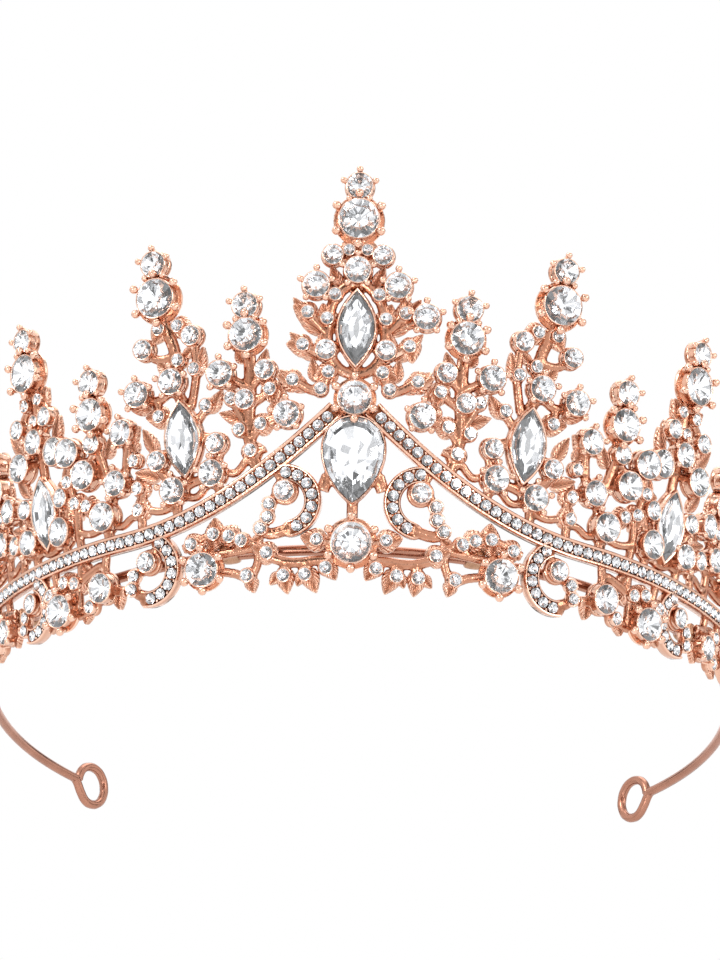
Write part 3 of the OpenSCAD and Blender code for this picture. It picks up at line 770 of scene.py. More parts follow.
def gold_nodes(tree, shader, veined):
    """Polished rose gold: painted shade in the hollows, painted highlight on edges, a faint cast
    skin.
    """
    finish = finishes()
    shape = tree.nodes.new("ShaderNodeNewGeometry").outputs["Pointiness"]
    # By pointiness: painted shade in the hollows and a painted highlight on the raised edges
    painted_shade_and_highlight = ramp(tree, shape, (0.465, finish.painted_recess_shade), (0.508, finish.plating), (0.57, finish.edge))
    cloud = ramp(tree, noise(tree, 420, 3), (0.3, (0.93, 0.86, 0.82)), (0.7, (1, 1, 1)))
    tree.links.new(mix(tree, 1.0, painted_shade_and_highlight, cloud, "MULTIPLY"), shader.inputs["Base Color"])
    clouded(tree, shader.inputs["Roughness"], (1500, 4, 0.6), (0.3, grey(0.06)), (0.75, grey(0.2)))
    shader.inputs["Metallic"].default_value = 1
    skin = bump(tree, noise(tree, 1600, 3), 0.5, 0.00015)
    if veined:
        skin = bump(tree, veins(tree), 0.6, 0.00008, skin)
    tree.links.new(skin, shader.inputs["Normal"])


def veins(tree):
    """Fine veins that slant away from the middle of a leaf, by the leaf's own UV."""
    split = tree.nodes.new("ShaderNodeSeparateXYZ")
    tree.links.new(tree.nodes.new("ShaderNodeUVMap").outputs["UV"], split.inputs["Vector"])
    from_middle = reckon(
        tree, "ABSOLUTE", reckon(tree, "SUBTRACT", split.outputs["Y"], 0.5))
    slant = reckon(tree, "SUBTRACT", split.outputs["X"], from_middle)
    return reckon(tree, "SINE", reckon(tree, "MULTIPLY", slant, LEAF_VEINS))


def metal_nodes(tree, shader, colour, dark, cloud, gloss, skin):
    """Plated metal: a clouded colour, uneven gloss and a fine skin.

    dark is the share of the colour in its dark clouds; gloss is a grain and the least and most
    roughness; skin is a grain, a strength and a depth.
    """
    clouded(tree, shader.inputs["Base Color"], cloud, (0.3, shade(colour, dark)), (0.7, colour))
    grain, least, most = gloss
    clouded(tree, shader.inputs["Roughness"], grain, (0.3, grey(least)), (0.7, grey(most)))
    shader.inputs["Metallic"].default_value = 1
    grain, strength, depth = skin
    tree.links.new(bump(tree, noise(tree, *grain), strength, depth), shader.inputs["Normal"])


def crystal_nodes(tree, shader):
    """Clear cut glass, with only a trace of handling on its facets."""
    crystal = finishes().crystal
    shader.inputs["Transmission Weight"].default_value = 1
    shader.inputs["IOR"].default_value = 1.54
    clouded(tree, shader.inputs["Base Color"], (300, 2), (0.35, shade(crystal, 0.97)),
            (0.65, crystal))
    clouded(tree, shader.inputs["Roughness"], (900, 3), (0.45, grey(0.0)), (0.8, grey(0.03)))


def foil_nodes(tree, shader, share, glow):
    """Silver foil behind a stone, a little uneven where it was painted on, with a painted glow; a
    share below 1 is a painted shade.
    """
    foil = finishes().foil
    clouded(tree, shader.inputs["Base Color"], (500, 3), (0.3, shade(foil, 0.86 * share)),
            (0.65, shade(foil, share)))
    clouded(tree, shader.inputs["Roughness"], (1400, 2), (0.3, grey(0.02)), (0.8, grey(0.08)))
    shader.inputs["Metallic"].default_value = 1
    # Painted light: the foil glows by itself, though it is no lamp
    shader.inputs["Emission Color"].default_value = (*foil, 1)
    shader.inputs["Emission Strength"].default_value = glow


def floor_nodes(tree, shader):
    floor = finishes().floor
    clouded(tree, shader.inputs["Base Color"], (3, 2), (0.3, shade(floor, 0.97)), (0.7, floor))
    shader.inputs["Roughness"].default_value = 0.9


def rose_gold():
    return look("rose_gold", gold_nodes, False)


def wire_look():
    return look("drawn_wire", metal_nodes, finishes().wire, 0.82, (260, 3),
                ((1800, 3), 0.16, 0.3), ((3000, 2), 0.2, 0.00003))


def solder_look():
    return look("plated_solder", metal_nodes, finishes().solder, 0.7, (700, 4),
                ((1200, 3), 0.22, 0.42), ((1500, 4), 0.5, 0.00012))


def give(part, *materials):
    part.data.materials.clear()
    for made in materials:
        part.data.materials.append(made)


def coat(part):
    """Rose gold all over, with veined gold at hand for the leaves."""
    give(part, rose_gold(), look("veined_gold", gold_nodes, True))


def finish_piece(part, node, slot, *materials):
    """Gives the piece any materials passed in, hides the CAD node and hangs the piece on the
    frame's root.
    """
    if materials:
        give(part, *materials)
    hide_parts(node)
    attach(part, "root")


def finish_both(right, node, slot, *materials):
    """Finishes a right-hand piece and its left-hand twin; node is the name without its hand."""
    left = other_hand(right, right.name.replace("right", "left"))
    for part, hand in ((right, "right"), (left, "left")):
        finish_piece(part, f"{node}_{hand}", slot, *materials)


# ------------------------------------------------------------------ cups, claws and stones

BLANKS = {}


def blank(key, make, *settings):
    """A part that is modelled once and then copied."""
    if key not in BLANKS:
        BLANKS[key] = make(*settings)
    return BLANKS[key]


def make_cup(d):
    """The turned cup of a round stone, with ball claws on the large ones."""
    top = seat_top(d)
    sides = 28 if d >= S else 20 if d > DOT else 14
    parts = [turned("cup", [
        (d - 0.1, -0.85), (d + 0.3, -0.9), (d + 0.44, -0.1), (d + 0.5, top - 0.25),
        (d + 0.44, top - 0.02), (d + 0.26, top + 0.08), (d + 0.02, top + 0.02),
        (d - 0.06, top - 0.3), (d - 0.1, -0.85)], sides)]
    if d >= L:
        skirt = 0.28 * d
        parts.append(turned("skirt", [
            (d - 0.05, -1.2), (d + skirt, -0.8), (d + skirt + 0.2, -0.45), (d + skirt, -0.2),
            (d + 0.2, -0.4), (d - 0.05, -1.2)], sides))
    claws = CLAWS.get(d, 0)
    ball = sizes().claw_ball / MM * (0.95 if d == S else 1.2)
    for i in range(claws):
        across = Vector((*polar(1, math.pi / 2 + 2 * math.pi * i / claws), 0))
        low = across * (d / 2 + 0.1) + Vector((0, 0, -0.9))
        high = across * (CLAW_REACH * d) + Vector((0, 0, top))
        run = high - low
        arm = stem(CLAW_ARM, [(0, 0), (1, 0)], 0)
        arm.matrix_world = (Matrix.Translation(low * MM)
                            @ run.to_track_quat("X", "Z").to_matrix().to_4x4()
                            @ Matrix.Diagonal((run.length, 1, 1, 1)))
        deselect()
        bpy.ops.mesh.primitive_uv_sphere_add(
            segments=14, ring_count=8, radius=ball * MM, location=high * MM)
        parts += [arm, bpy.context.object]
    made = gather(f"cup_{d}", parts)
    coat(made)
    return made


def cup_blank(d):
    return blank(("cup", d), make_cup, d)


def make_row_cup():
    """The little cup of a row stone that stands by itself."""
    return turned("row_cup", [
        (ROW - 0.1, -0.5), (ROW + 0.8, -0.7), (ROW + 0.9, 0), (ROW + 0.6, 0.3),
        (ROW + 0.08, 0.2), (ROW - 0.1, -0.5)], 14)


def bridge_levels(part, girdle, level):
    """Bridges the girdle's ring of edges to the ring at another level, in edit mode."""
    bpy.ops.mesh.select_mode(type="EDGE")
    shape = bmesh.from_edit_mesh(part.data)
    for edge in shape.edges:
        heights = [vertex.co.z / MM for vertex in edge.verts]
        edge.select = any(all(abs(z - ring) < 0.01 for z in heights) for ring in (girdle, level))
    bmesh.update_edit_mesh(part.data)
    bpy.ops.mesh.bridge_edge_loops()
    bpy.ops.mesh.select_all(action="DESELECT")
    bpy.ops.mesh.select_mode(type="VERT")


def make_stone(d):
    """A round brilliant: girdle, bridged up to its table and down to a small culet."""
    sides, table_sides, crown, share = (
        (16, 8, 0.14, sizes().table_share) if d > DOT else (8, 8, 0.1, 0.62))
    wide = d + 0.04
    top = seat_top(d) if d != ROW else ROW_TOP
    edge = GIRDLE * d
    deselect()
    bpy.ops.mesh.primitive_circle_add(
        vertices=sides, radius=wide / 2 * MM, location=(0, 0, (top - edge) * MM))
    part = bpy.context.object
    bpy.ops.object.transform_apply(location=True)
    edit(part)
    bpy.ops.mesh.extrude_region_move(TRANSFORM_OT_translate={"value": (0, 0, edge * MM)})
    bpy.ops.mesh.select_all(action="DESELECT")
    for girdle, level, width in ((top, top + crown * d, share * wide),
                                 (top - edge, top - PAVILION * d, CULET * wide)):
        bpy.ops.mesh.primitive_circle_add(
            vertices=table_sides, radius=width / 2 * MM, location=(0, 0, level * MM),
            fill_type="NGON")
        bridge_levels(part, girdle, level)
    done()
    face_outwards(part)
    back_with_foil(part, top - edge, sides)
    part.name = f"stone_{d}"
    return part


def stone_blank(d):
    return blank(("stone", d), make_stone, d)


def back_with_foil(part, girdle, wedges):
    """Glass above the girdle, foil below it, with painted shade on every third wedge of it."""
    # The second foil is a darker copy of the first, a painted shade; both foils carry a painted
    # glow
    give(part, look("cut_crystal", crystal_nodes), look("silver_foil_painted_glow", foil_nodes, 1, 0.1),
         look("foil_painted_shade", foil_nodes, 0.62, 0.04))
    for facet in part.data.polygons:
        x, y, z = facet.center / MM
        wedge = math.floor(wedges * math.atan2(y, x) / (2 * math.pi)) + math.floor(4 * z)
        # Every third wedge of the pavilion takes the painted-shade foil
        facet.material_index = 0 if z > girdle - 0.02 else 2 if wedge % 3 == 0 else 1
        facet.use_smooth = False


def fancy_stone(name, ring, width, length, girdle, crown, depth):
    """A marquise or pear: two tiers of crown facets, a girdle and a foiled pavilion."""
    part = stacked(name, ring, [
        (0.16 * width, 0.3 * length, girdle - depth),
        (0.44 * width, 0.5 * length, girdle - 0.9 * depth),
        (0.74 * width, 0.77 * length, girdle - 0.58 * depth),
        (width, length, girdle - 0.2),
        (width, length, girdle),
        (0.82 * width, 0.85 * length, girdle + 0.62 * crown),
        (0.56 * width, 0.62 * length, girdle + crown),
    ], filled=True)
    edit(part)
    shape = bmesh.from_edit_mesh(part.data)
    for face in shape.faces:
        face.select = abs(face.normal.z) > 0.05 and len(face.verts) == 4
    bmesh.update_edit_mesh(part.data)
    bpy.ops.mesh.quads_convert_to_tris(quad_method="FIXED_ALTERNATE")
    done()
    back_with_foil(part, girdle - 0.2, len(ring))
    return part


# ------------------------------------------------------------------ castings

def make_leaf():
    """One leaf of unit length and width: two ribs, a groove down the middle and a lifted tip."""
    deselect()
    bpy.ops.mesh.primitive_grid_add(
        x_subdivisions=8, y_subdivisions=4, size=1, location=(0.5, 0, 0))
    part = bpy.context.object
    part.name = "leaf_blank"
    bpy.ops.object.transform_apply(location=True)
    for vertex in part.data.vertices:
        u = vertex.co.x
        half = math.sin(math.pi * min(1, max(0, u)) ** 0.75)
        rib = LEAF_RIBS[round(abs(vertex.co.y) * 4)]
        vertex.co.y *= half
        vertex.co.z = (rib * half + 0.5 * u * u) * 0.9
    edit(part)
    bpy.ops.mesh.extrude_region_move(TRANSFORM_OT_translate={"value": (0, 0, -0.75)})
    done()
    face_outwards(part)
    return part


def cast_leaf(x, y, turn, length, width):
    """A leaf at its place on a flat casting, in veined gold."""
    leaf = copy_of(blank("leaf", make_leaf), (
        at(x, y, LEAF_OUT) @ Matrix.Rotation(math.radians(turn), 4, "Z")
        @ Matrix.Diagonal((LEAF_LONGER * length * MM, LEAF_WIDER * width * MM,
                           LEAF_WIDER * MM, 1))))
    add_modifier(leaf, "SUBSURF", levels=1, render_levels=1)
    pick(leaf)
    bpy.ops.object.transform_apply(location=True, rotation=True, scale=True)
    coat(leaf)
    for face in leaf.data.polygons:
        face.material_index = 1
    soften(leaf, 45)
    return leaf


def seat_leaves(seats, stems, leaves):
    """A pointed leaf behind each small stone, growing on from the nearest stem."""
    grown = []
    for x, y, d in seats:
        if d > DOT or any(math.hypot(lx - x, ly - y) < 1.8 for lx, ly, *_ in leaves):
            continue
        roots = [point for _, points in stems for point in points
                 if math.hypot(point[0] - x, point[1] - y) > 0.6]
        px, py = min(roots, key=lambda point: math.hypot(point[0] - x, point[1] - y))
        turn = math.degrees(math.atan2(y - py, x - px))
        back_x, back_y = polar(2, math.radians(turn))
        grown.append((x - back_x, y - back_y, turn, 4.6, 3.4))
    return grown


def openwork(name, seats, stems, leaves, collars=()):
    """One casting, flat: melted stems and seats, veined leaves, cups and claws."""
    body = [stem(width + STEM_GAIN, points) for width, points in stems]
    for x, y, d in seats:
        base = turned("seat", [
            (d + 0.3, -1.5), (d + 0.9, -1.2), (d + 0.9, -0.5), (d + 0.3, -0.25)], 24, filled=True)
        base.matrix_world = at(x, y)
        body.append(base)
    made = melted(name, body + list(collars), sizes().grain, sizes().melt)
    for vertex in made.data.vertices:
        x, y, out = vertex.co / MM
        if out > BORE and any(math.hypot(x - sx, y - sy) < d / 2 + 0.1 for sx, sy, d in seats):
            vertex.co.z = BORE * MM
    coat(made)
    soften(made, 60)
    parts = [made] + [cast_leaf(*leaf) for leaf in leaves + seat_leaves(seats, stems, leaves)]
    for x, y, d in seats:
        parts.append(copy_of(cup_blank(d), at(x, y)))
        soften(parts[-1], 40)
    return gather(name, parts)


def setting(name, ring, size, steps, up):
    """A band round a stone; each step says how far past the stone's size, and its height."""
    width, length = size
    part = stacked(name, ring, [(width + w, length + l, out) for w, l, out in steps])
    part.matrix_world = at(0, up)
    return part


def marquise_collar(up):
    """The flat frame that carries a marquise stone."""
    return setting("collar", marquise_ring(12), (MARQUISE_W, MARQUISE_L), [
        (-1.6, -2.4, -1.5), (0.9, 1.6, -1.5), (1.1, 1.9, -0.6), (0.8, 1.4, 0.0),
        (-1.6, -2.4, -0.5), (-1.6, -2.4, -1.5)], up)


def with_marquise_rim(casting, up):
    """The casting with a raised rim round its marquise stone."""
    rim = setting("rim", marquise_ring(16), (MARQUISE_W, MARQUISE_L), [
        (-0.1, -0.2, -0.3), (0.7, 1.2, -0.3), (0.65, 1.1, 0.6), (0.4, 0.7, 0.8), (0, 0, 0.72),
        (-0.1, -0.2, -0.3)], up)
    coat(rim)
    return gather(casting.name, [casting, rim])


def foot_branch(place, left, right):
    """The branch that runs along just above the rail, from one spire towards the next."""
    steps = 6
    points = []
    for i in range(steps + 1):
        x = left + (right - left) * i / steps
        points.append((x, rail_height(place + x) + 3.4 + 0.5 * math.sin(2.4 * i)))
    return stem(1.5, points)


def unit_casting(kind):
    unit = UNITS[kind]
    collars = [marquise_collar(unit["marquise"])] if "marquise" in unit else []
    if kind in FEET:
        collars.append(foot_branch(unit["place"], *FEET[kind]))
    made = openwork(
        f"cast_{kind}_right", unit["seats"], unit["stems"], unit["leaves"], collars)
    if "marquise" in unit:
        made = with_marquise_rim(made, unit["marquise"])
    finish_both(settle(made, face_matrix(unit["place"])), kind, "plated_casting")


def channel_section(half, slot, chamfer, shoulder, lip):
    """The section of a stone channel: points across it and out of it, side by side."""
    side = [(half - chamfer, -1.4), (half, -1.2), (half, 0.05), (half - shoulder[0], shoulder[1]),
            (half - 0.2, 0.42), (half - lip, 0.4), (slot, 0.28), (slot, -0.08), (0.5, -0.1)]
    return side + [(-v, out) for v, out in reversed(side)]


# ------------------------------------------------------------------ operators

class TIARA_OT_headband(bpy.types.Operator):
    """Bend the headband wire and the eye at each of its ends"""

    bl_idname = "tiara.headband"
    bl_label = "Headband wire"

    def execute(self, context):
        half = math.radians(LOOP_ANGLE) - (LOOP_R + WIRE_R - EYE_BITE) / RING_R
        deselect()
        bpy.ops.mesh.primitive_circle_add(
            vertices=20, radius=DRAWN_R * MM, location=(0, -RING_R * MM, 0),
            rotation=(0, math.pi / 2, 0), fill_type="NGON")
        wire = bpy.context.object
        wire.name = "bent_headband_wire"
        bpy.ops.object.transform_apply(location=True, rotation=True)
        edit(wire)
        bpy.ops.transform.rotate(value=half, orient_axis="Z", center_override=(0, 0, 0))
        done()
        onwards = -1 if sum(vertex.co.x for vertex in wire.data.vertices) < 0 else 1
        edit(wire)
        bpy.ops.mesh.spin(steps=150, angle=2 * half * onwards, center=(0, 0, 0), axis=(0, 0, 1))
        done()
        face_outwards(wire)
        settle(wire, ring_matrix())
        soften(wire, 50)
        finish_piece(wire, "headband_wire", "wire", wire_look())

        eye = swept([Vector(place) * MM for place in EYE_PATH], DRAWN_R * MM, 4, 5)
        eye.name = "end_eye_right"
        settle(eye, ring_matrix() @ Matrix.Rotation(math.radians(LOOP_ANGLE - 90), 4, "Z")
               @ Matrix.Translation((RING_R * MM, 0, 0)))
        soften(eye, 50)
        finish_both(eye, "end_loop", "wire", wire_look())
        return {"FINISHED"}


class TIARA_OT_saddles(bpy.types.Operator):
    """Wrap solder round the wire where the castings are joined to it"""

    bl_idname = "tiara.saddles"
    bl_label = "Solder saddles"

    def execute(self, context):
        wrap = turned("wrap", [
            (2.1, -1.5), (2.8, -1.25), (3, -0.4), (2.95, 0.5), (2.7, 1.3), (2.1, 1.5)],
            20, filled=True)
        wrap.matrix_world = Matrix.Rotation(math.pi / 2, 4, "Y")
        deselect()
        bpy.ops.mesh.primitive_cube_add(size=1, location=(0, -1.65 * MM, 0),
                                        scale=(2.8 * MM, 1.8 * MM, 2.2 * MM))
        saddle = melted("saddle", [wrap, bpy.context.object], SOLDER_GRAIN, SOLDER_MELT)
        joined = gather("solder_saddles", [
            copy_of(saddle, ring_matrix() @ Matrix.Rotation(s * MM / sizes().band_radius, 4, "Z")
                    @ Matrix.Translation((0, -RING_R * MM, 0))) for s in SADDLES])
        drop(saddle)
        soften(joined, 60)
        finish_piece(joined, "wire_saddles", "solder", solder_look())
        return {"FINISHED"}


class TIARA_OT_rails(bpy.types.Operator):
    """Run the two channel rails down from the apex, with a border on each side"""

    bl_idname = "tiara.rails"
    bl_label = "Channel rails"

    def execute(self, context):
        places = rail_places(0.5)
        rail = outline([(0, v * MM, out * MM) for v, out in channel_section(*RAIL_SECTION)])
        edit(rail)
        for _ in places[1:]:
            bpy.ops.mesh.extrude_region_move(TRANSFORM_OT_translate={"value": (MM, 0, 0)})
        done()
        for vertex in rail.data.vertices:
            s = places[min(len(places) - 1, round(vertex.co.x / MM))]
            vertex.co = rail_point(s, vertex.co.y / MM, vertex.co.z / MM)
        face_outwards(rail)
        prongs = []
        for s in rail_places(PITCH)[1:]:
            if s > RAIL_END - PITCH:
                break
            between = s + 0.5 * PITCH / math.hypot(1, rail_slope(s))
            prongs += [rail_point(between, v, PRONG_OUT) for v in (-PRONG_SIDE, PRONG_SIDE)]
        made = gather("channel_rail_right", [rail] + beads(prongs, PRONG_R * MM))
        soften(made, 40)
        finish_both(made, "rail", "plated_casting", rose_gold())
        return {"FINISHED"}


class TIARA_OT_scrolls(bpy.types.Operator):
    """Spin the jewelled scrolls that hang under the rails"""

    bl_idname = "tiara.scrolls"
    bl_label = "Jewelled scrolls"

    def execute(self, context):
        for kind, (place, height, *shape) in SCROLLS.items():
            made = settle(self.scroll(f"cast_{kind}_right", *shape), face_matrix(place, height))
            finish_both(made, kind, "plated_casting")
        return {"FINISHED"}

    def channel(self, radius, start, turn):
        """The stone channel, spun anticlockwise round the middle of the scroll, in degrees."""
        points = [(*polar((radius + v) * MM, math.radians(start)), out * MM)
                  for v, out in channel_section(*SCROLL_SECTION)]
        part = outline(points)
        edit(part)
        bpy.ops.mesh.spin(steps=40, angle=-math.radians(turn), center=(0, 0, 0), axis=(0, 0, 1))
        done()
        last = part.data.vertices[-1].co
        reached = math.degrees(math.atan2(last.y, last.x))
        if abs((reached - start - turn + 180) % 360 - 180) > 5:
            raise RuntimeError("the scroll was spun the wrong way round")
        face_outwards(part)
        return part

    def scroll(self, name, radius, first, stones, eye_stone, eye, tail):
        """One scroll, flat: its channel, its eye, its tail and the beads between its stones."""
        step = math.degrees(SCROLL_PITCH / radius)
        start, stop = first - LEAD_IN, first + step * stones - LEAD_OUT
        channel = self.channel(radius, start, stop - start)
        head = polar(radius, math.radians(start + 2))
        end = polar(radius, math.radians(stop))
        lean = polar(1, math.radians(118))
        body = [
            stem(2.1, [(eye[0] + 0.8, eye[1] - 0.4), *tail, (end[0] - 0.9, end[1] + 0.1)], -0.9),
            stem(1.5, [eye, (eye[0] + (radius - 1) * lean[0],
                             eye[1] + (radius - eye[1] - 0.4) * lean[1])], -0.8),
        ]
        for (x, y), wide in ((eye, eye_stone + 1.4), (head, 2.8), (end, 2.8)):
            disc = turned("disc", [
                (wide - 0.5, -1.4), (wide, -1.1), (wide, -0.6), (wide - 0.4, -0.3)],
                20, filled=True)
            disc.matrix_world = at(x, y)
            body.append(disc)
        parts = [melted(name, body, sizes().grain, sizes().melt), channel,
                 copy_of(cup_blank(eye_stone), at(*eye))]
        parts += [copy_of(blank("row_cup", make_row_cup), at(x, y)) for x, y in tail]
        prongs = []
        for i in range(stones - 1):
            a = math.radians(first + (i + 0.5) * step)
            prongs += [Vector((*polar(radius + v, a), PRONG_OUT)) * MM
                       for v in (-PRONG_SIDE, PRONG_SIDE)]
        made = gather(name, parts + beads(prongs, PRONG_R * MM))
        give(made, rose_gold())
        soften(made, 40)
        return made


class TIARA_OT_hems(bpy.types.Operator):
    """Cast the leafy sprays and hems that run along the lower edge"""

    bl_idname = "tiara.hems"
    bl_label = "Leaf sprays and hems"

    def execute(self, context):
        for kind in UNITS:
            if kind not in FEET:
                unit_casting(kind)
        return {"FINISHED"}


class TIARA_OT_spires(bpy.types.Operator):
    """Cast the spires that stand on the rails"""

    bl_idname = "tiara.spires"
    bl_label = "Spires"

    def execute(self, context):
        for kind in FEET:
            unit_casting(kind)
        return {"FINISHED"}


class TIARA_OT_crest(bpy.types.Operator):
    """Cast the crest over the apex"""

    bl_idname = "tiara.crest"
    bl_label = "Centre crest"

    def execute(self, context):
        made = openwork(
            "cast_center_crest", crest_seats(),
            CREST_STEMS + CREST_SIDE_STEMS + mirrored_stems(CREST_SIDE_STEMS),
            CREST_SIDE_LEAVES + mirrored_leaves(CREST_SIDE_LEAVES),
            [marquise_collar(CREST_MARQUISE)])
        made = settle(with_marquise_rim(made, CREST_MARQUISE), face_matrix(0))
        finish_piece(made, "center_crest", "plated_casting")
        return {"FINISHED"}


class TIARA_OT_panel(bpy.types.Operator):
    """Cast the centre panel with the frame of the pear stone"""

    bl_idname = "tiara.panel"
    bl_label = "Centre panel"

    def execute(self, context):
        collar = setting("pear_collar", pear_ring(32), (PEAR_W, PEAR_L), [
            (-2.6, -3, -1.5), (0.6, 0.8, -1.5), (0.8, 1, -0.6), (0.5, 0.7, 0),
            (-2.6, -3, -0.6), (-2.6, -3, -1.5)], PEAR_UP)
        made = openwork(
            "cast_center_panel", panel_seats(),
            PANEL_STEMS + PANEL_SIDE_STEMS + mirrored_stems(PANEL_SIDE_STEMS), [], [collar])
        rim = setting("pear_rim", pear_ring(48), (PEAR_W, PEAR_L), [
            (-0.1, -0.1, -0.3), (0.5, 0.7, -0.3), (0.5, 0.65, 0.7), (0.25, 0.3, 0.95),
            (0, 0, 0.88), (-0.1, -0.1, -0.3)], PEAR_UP)
        coat(rim)
        made = settle(gather("cast_center_panel", [made, rim]), face_matrix(0))
        finish_piece(made, "center_panel", "plated_casting")
        return {"FINISHED"}


def all_seats():
    """Every round seat, as its stone and its place on the tiara, for both halves."""
    found = []
    for unit in UNITS.values():
        for x, y, d in unit["seats"]:
            place = face_matrix(unit["place"]) @ at(x, y)
            found += [(d, place), (d, other_side(place))]
    for along, height, _, _, _, eye_stone, eye, _ in SCROLLS.values():
        place = face_matrix(along, height) @ at(*eye)
        found += [(eye_stone, place), (eye_stone, other_side(place))]
    found += [(d, face_matrix(0) @ at(x, y)) for x, y, d in crest_seats() + panel_seats()]
    return found


class TIARA_OT_round_stones(bpy.types.Operator):
    """Cut the round stones and set each size in its seats"""

    bl_idname = "tiara.round_stones"
    bl_label = "Round stones"

    def execute(self, context):
        seats = all_seats()
        groups = {"round_stones_6_5mm": (XL,), "round_stones_5_4mm": (L,),
                  "round_stones_4_8mm": (M,), "round_stones_4_2mm": (S,),
                  "round_stones_3_2mm": (XS,), "accent_stones_2mm": (DOT, ROW)}
        for node, group in groups.items():
            copies = []
            for d, place in seats:
                if d not in group:
                    continue
                rise = seat_top(ROW) - ROW_TOP if d == ROW else 0
                turn = ROUND_TURN * (len(copies) + 1)
                copies.append(copy_of(
                    stone_blank(d), place @ at(0, 0, rise) @ Matrix.Rotation(turn, 4, "Z")))
            finish_piece(gather(f"cut_{node}", copies), node, "crystal")
        return {"FINISHED"}


class TIARA_OT_row_stones(bpy.types.Operator):
    """Set the small stones in the rails and scrolls"""

    bl_idname = "tiara.row_stones"
    bl_label = "Row stones"

    def execute(self, context):
        rail = [face_matrix(s, rail_height(s)) for s in rail_places(PITCH)
                if RAIL_START + 0.8 < s < RAIL_END - PITCH]
        scroll = []
        for along, height, radius, first, stones, _, _, tail in SCROLLS.values():
            for i in range(stones):
                turn = math.radians(first) + i * SCROLL_PITCH / radius
                scroll.append(face_matrix(along, height, turn) @ at(radius, 0))
            scroll += [face_matrix(along, height) @ at(x, y) for x, y in tail]
        for node, places in (("rail_stones", rail), ("scroll_stones", scroll)):
            for hand in ("right", "left"):
                copies = []
                for i, place in enumerate(places):
                    seat = place if hand == "right" else other_side(place)
                    copies.append(copy_of(
                        stone_blank(ROW), seat @ Matrix.Rotation(i * ROW_TURN, 4, "Z")))
                made = gather(f"cut_{node}_{hand}", copies)
                finish_piece(made, f"{node}_{hand}", "crystal")
        return {"FINISHED"}


class TIARA_OT_feature_stones(bpy.types.Operator):
    """Cut the pear stone and the marquise stones"""

    bl_idname = "tiara.feature_stones"
    bl_label = "Pear and marquise stones"

    def execute(self, context):
        pear = fancy_stone(
            "cut_pear_stone", pear_ring(16), PEAR_W - 0.1, PEAR_L - 0.1, 1, 0.85, 1.5)
        finish_piece(settle(pear, face_matrix(0, PEAR_UP)), "pear_stone", "crystal")
        marquise = fancy_stone(
            "marquise", marquise_ring(5), MARQUISE_W - 0.08, MARQUISE_L - 0.1, 0.75, 0.7, 1.15)
        places = [face_matrix(0, CREST_MARQUISE)]
        for unit in UNITS.values():
            if "marquise" in unit:
                place = face_matrix(unit["place"], unit["marquise"])
                places += [place, other_side(place)]
        made = gather("cut_marquise_stones", [copy_of(marquise, place) for place in places])
        drop(marquise)
        finish_piece(made, "marquise_stones", "crystal")
        return {"FINISHED"}


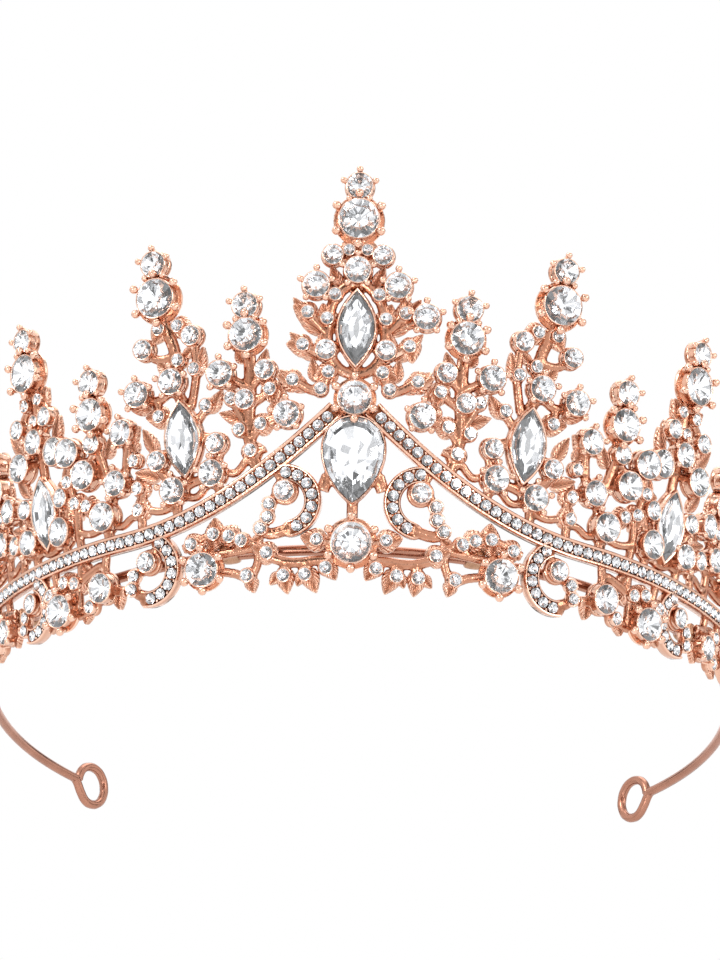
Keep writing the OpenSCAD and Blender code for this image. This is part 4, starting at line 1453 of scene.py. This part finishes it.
class TIARA_OT_stage(bpy.types.Operator):
    """Set up the pale floor, the soft studio light and the camera"""

    bl_idname = "tiara.stage"
    bl_label = "Floor, light and camera"

    def execute(self, context):
        self.floor()
        self.sky()
        self.lamps()
        self.camera()
        return {"FINISHED"}

    def floor(self):
        deselect()
        bpy.ops.mesh.primitive_grid_add(
            x_subdivisions=12, y_subdivisions=12, size=6, location=(0, 0, -0.3))
        floor = bpy.context.object
        floor.name = "studio_floor"
        give(floor, look("pale_floor", floor_nodes))

    def sky(self):
        """A white room for the eye, and for the reflections a soft box with darker corners."""
        scene = bpy.context.scene
        world = bpy.data.worlds.new("studio")
        scene.world = world
        world.use_nodes = True
        tree = world.node_tree
        tree.nodes.clear()
        place = tree.nodes.new("ShaderNodeTexCoord").outputs["Generated"]
        split = tree.nodes.new("ShaderNodeSeparateXYZ")
        tree.links.new(place, split.inputs["Vector"])
        rise = ramp(tree, self.share(tree, split.outputs["Z"]), (0.0, grey(0.8)),
                    (0.35, grey(0.9)), (0.5, grey(1.0)), (0.8, grey(1.0)))
        back = ramp(tree, self.share(tree, split.outputs["Y"]), (0.45, grey(0.0)),
                    (0.75, grey(1.0)))
        room = mix(tree, back, rise, grey(0.95))
        patches = tree.nodes.new("ShaderNodeTexNoise")
        patches.inputs["Scale"].default_value = 2.4
        patches.inputs["Detail"].default_value = 2.5
        tree.links.new(place, patches.inputs["Vector"])
        dark = ramp(tree, patches.outputs["Fac"], (0.4, grey(0.08)), (0.47, grey(1.0)))
        glow = tree.nodes.new("ShaderNodeBackground")
        glow.inputs["Strength"].default_value = 1.5
        tree.links.new(mix(tree, 1.0, room, dark, "MULTIPLY"), glow.inputs["Color"])
        white = tree.nodes.new("ShaderNodeBackground")
        white.inputs["Color"].default_value = (1, 1, 1, 1)
        either = tree.nodes.new("ShaderNodeMixShader")
        path = tree.nodes.new("ShaderNodeLightPath")
        tree.links.new(path.outputs["Is Camera Ray"], either.inputs["Fac"])
        tree.links.new(glow.outputs["Background"], either.inputs[1])
        tree.links.new(white.outputs["Background"], either.inputs[2])
        out = tree.nodes.new("ShaderNodeOutputWorld")
        tree.links.new(either.outputs["Shader"], out.inputs["Surface"])
        scene.view_settings.view_transform = "Standard"

    def share(self, tree, source):
        """A direction from -1 to 1 as a share from 0 to 1."""
        made = tree.nodes.new("ShaderNodeMapRange")
        made.inputs["From Min"].default_value = -1
        made.inputs["From Max"].default_value = 1
        tree.links.new(source, made.inputs["Value"])
        return made.outputs["Result"]

    def lamps(self):
        for name, place, width, power in LAMPS:
            deselect()
            bpy.ops.object.light_add(type="AREA", location=place)
            lamp = bpy.context.object
            lamp.name = name
            lamp.data.size = width
            lamp.data.energy = power
            lamp.rotation_euler = (LAMP_AIM - Vector(place)).to_track_quat("-Z", "Y").to_euler()

    def camera(self):
        """Looks up at the front from a little below the table line."""
        deselect()
        bpy.ops.object.camera_add()
        camera = bpy.context.object
        camera.name = "front_camera"
        turn, rise, roll = (math.radians(angle) for angle in CAMERA_ANGLES)
        camera.matrix_world = (
            Matrix.Rotation(turn, 4, "Z") @ Matrix.Translation(CAMERA_PLACE)
            @ Matrix.Rotation(math.pi / 2 + rise, 4, "X") @ Matrix.Rotation(roll, 4, "Z"))
        camera.data.lens = CAMERA_LENS
        camera.data.sensor_width = 36
        camera.data.clip_start, camera.data.clip_end = 0.02, 20
        bpy.context.scene.camera = camera


class TIARA_PT_tiara(bpy.types.Panel):
    """Sizes, finishes and pieces of the tiara"""

    bl_idname = "TIARA_PT_tiara"
    bl_label = "Bridal tiara"
    bl_space_type = "VIEW_3D"
    bl_region_type = "UI"
    bl_category = "Tiara"

    def draw(self, context):
        for group in (context.scene.tiara_sizes, context.scene.tiara_finishes):
            box = self.layout.box()
            for name in group.__annotations__:
                box.prop(group, name)
        for operator in PIECES:
            self.layout.operator(operator.bl_idname)


PIECES = (
    TIARA_OT_headband, TIARA_OT_saddles, TIARA_OT_rails, TIARA_OT_scrolls, TIARA_OT_hems,
    TIARA_OT_spires, TIARA_OT_crest, TIARA_OT_panel, TIARA_OT_round_stones,
    TIARA_OT_row_stones, TIARA_OT_feature_stones, TIARA_OT_stage,
)
CLASSES = (TiaraSizes, TiaraFinishes, *PIECES, TIARA_PT_tiara)


def register():
    for made in CLASSES:
        bpy.utils.register_class(made)
    bpy.types.Scene.tiara_sizes = PointerProperty(type=TiaraSizes)
    bpy.types.Scene.tiara_finishes = PointerProperty(type=TiaraFinishes)


def unregister():
    del bpy.types.Scene.tiara_finishes
    del bpy.types.Scene.tiara_sizes
    for made in reversed(CLASSES):
        bpy.utils.unregister_class(made)


def main():
    register()
    bpy.ops.tiara.headband()
    bpy.ops.tiara.saddles()
    bpy.ops.tiara.rails()
    bpy.ops.tiara.scrolls()
    bpy.ops.tiara.hems()
    bpy.ops.tiara.spires()
    bpy.ops.tiara.crest()
    bpy.ops.tiara.panel()
    bpy.ops.tiara.round_stones()
    bpy.ops.tiara.row_stones()
    bpy.ops.tiara.feature_stones()
    bpy.ops.tiara.stage()
    for made in BLANKS.values():
        drop(made)


if __name__ == "__main__":
    main()
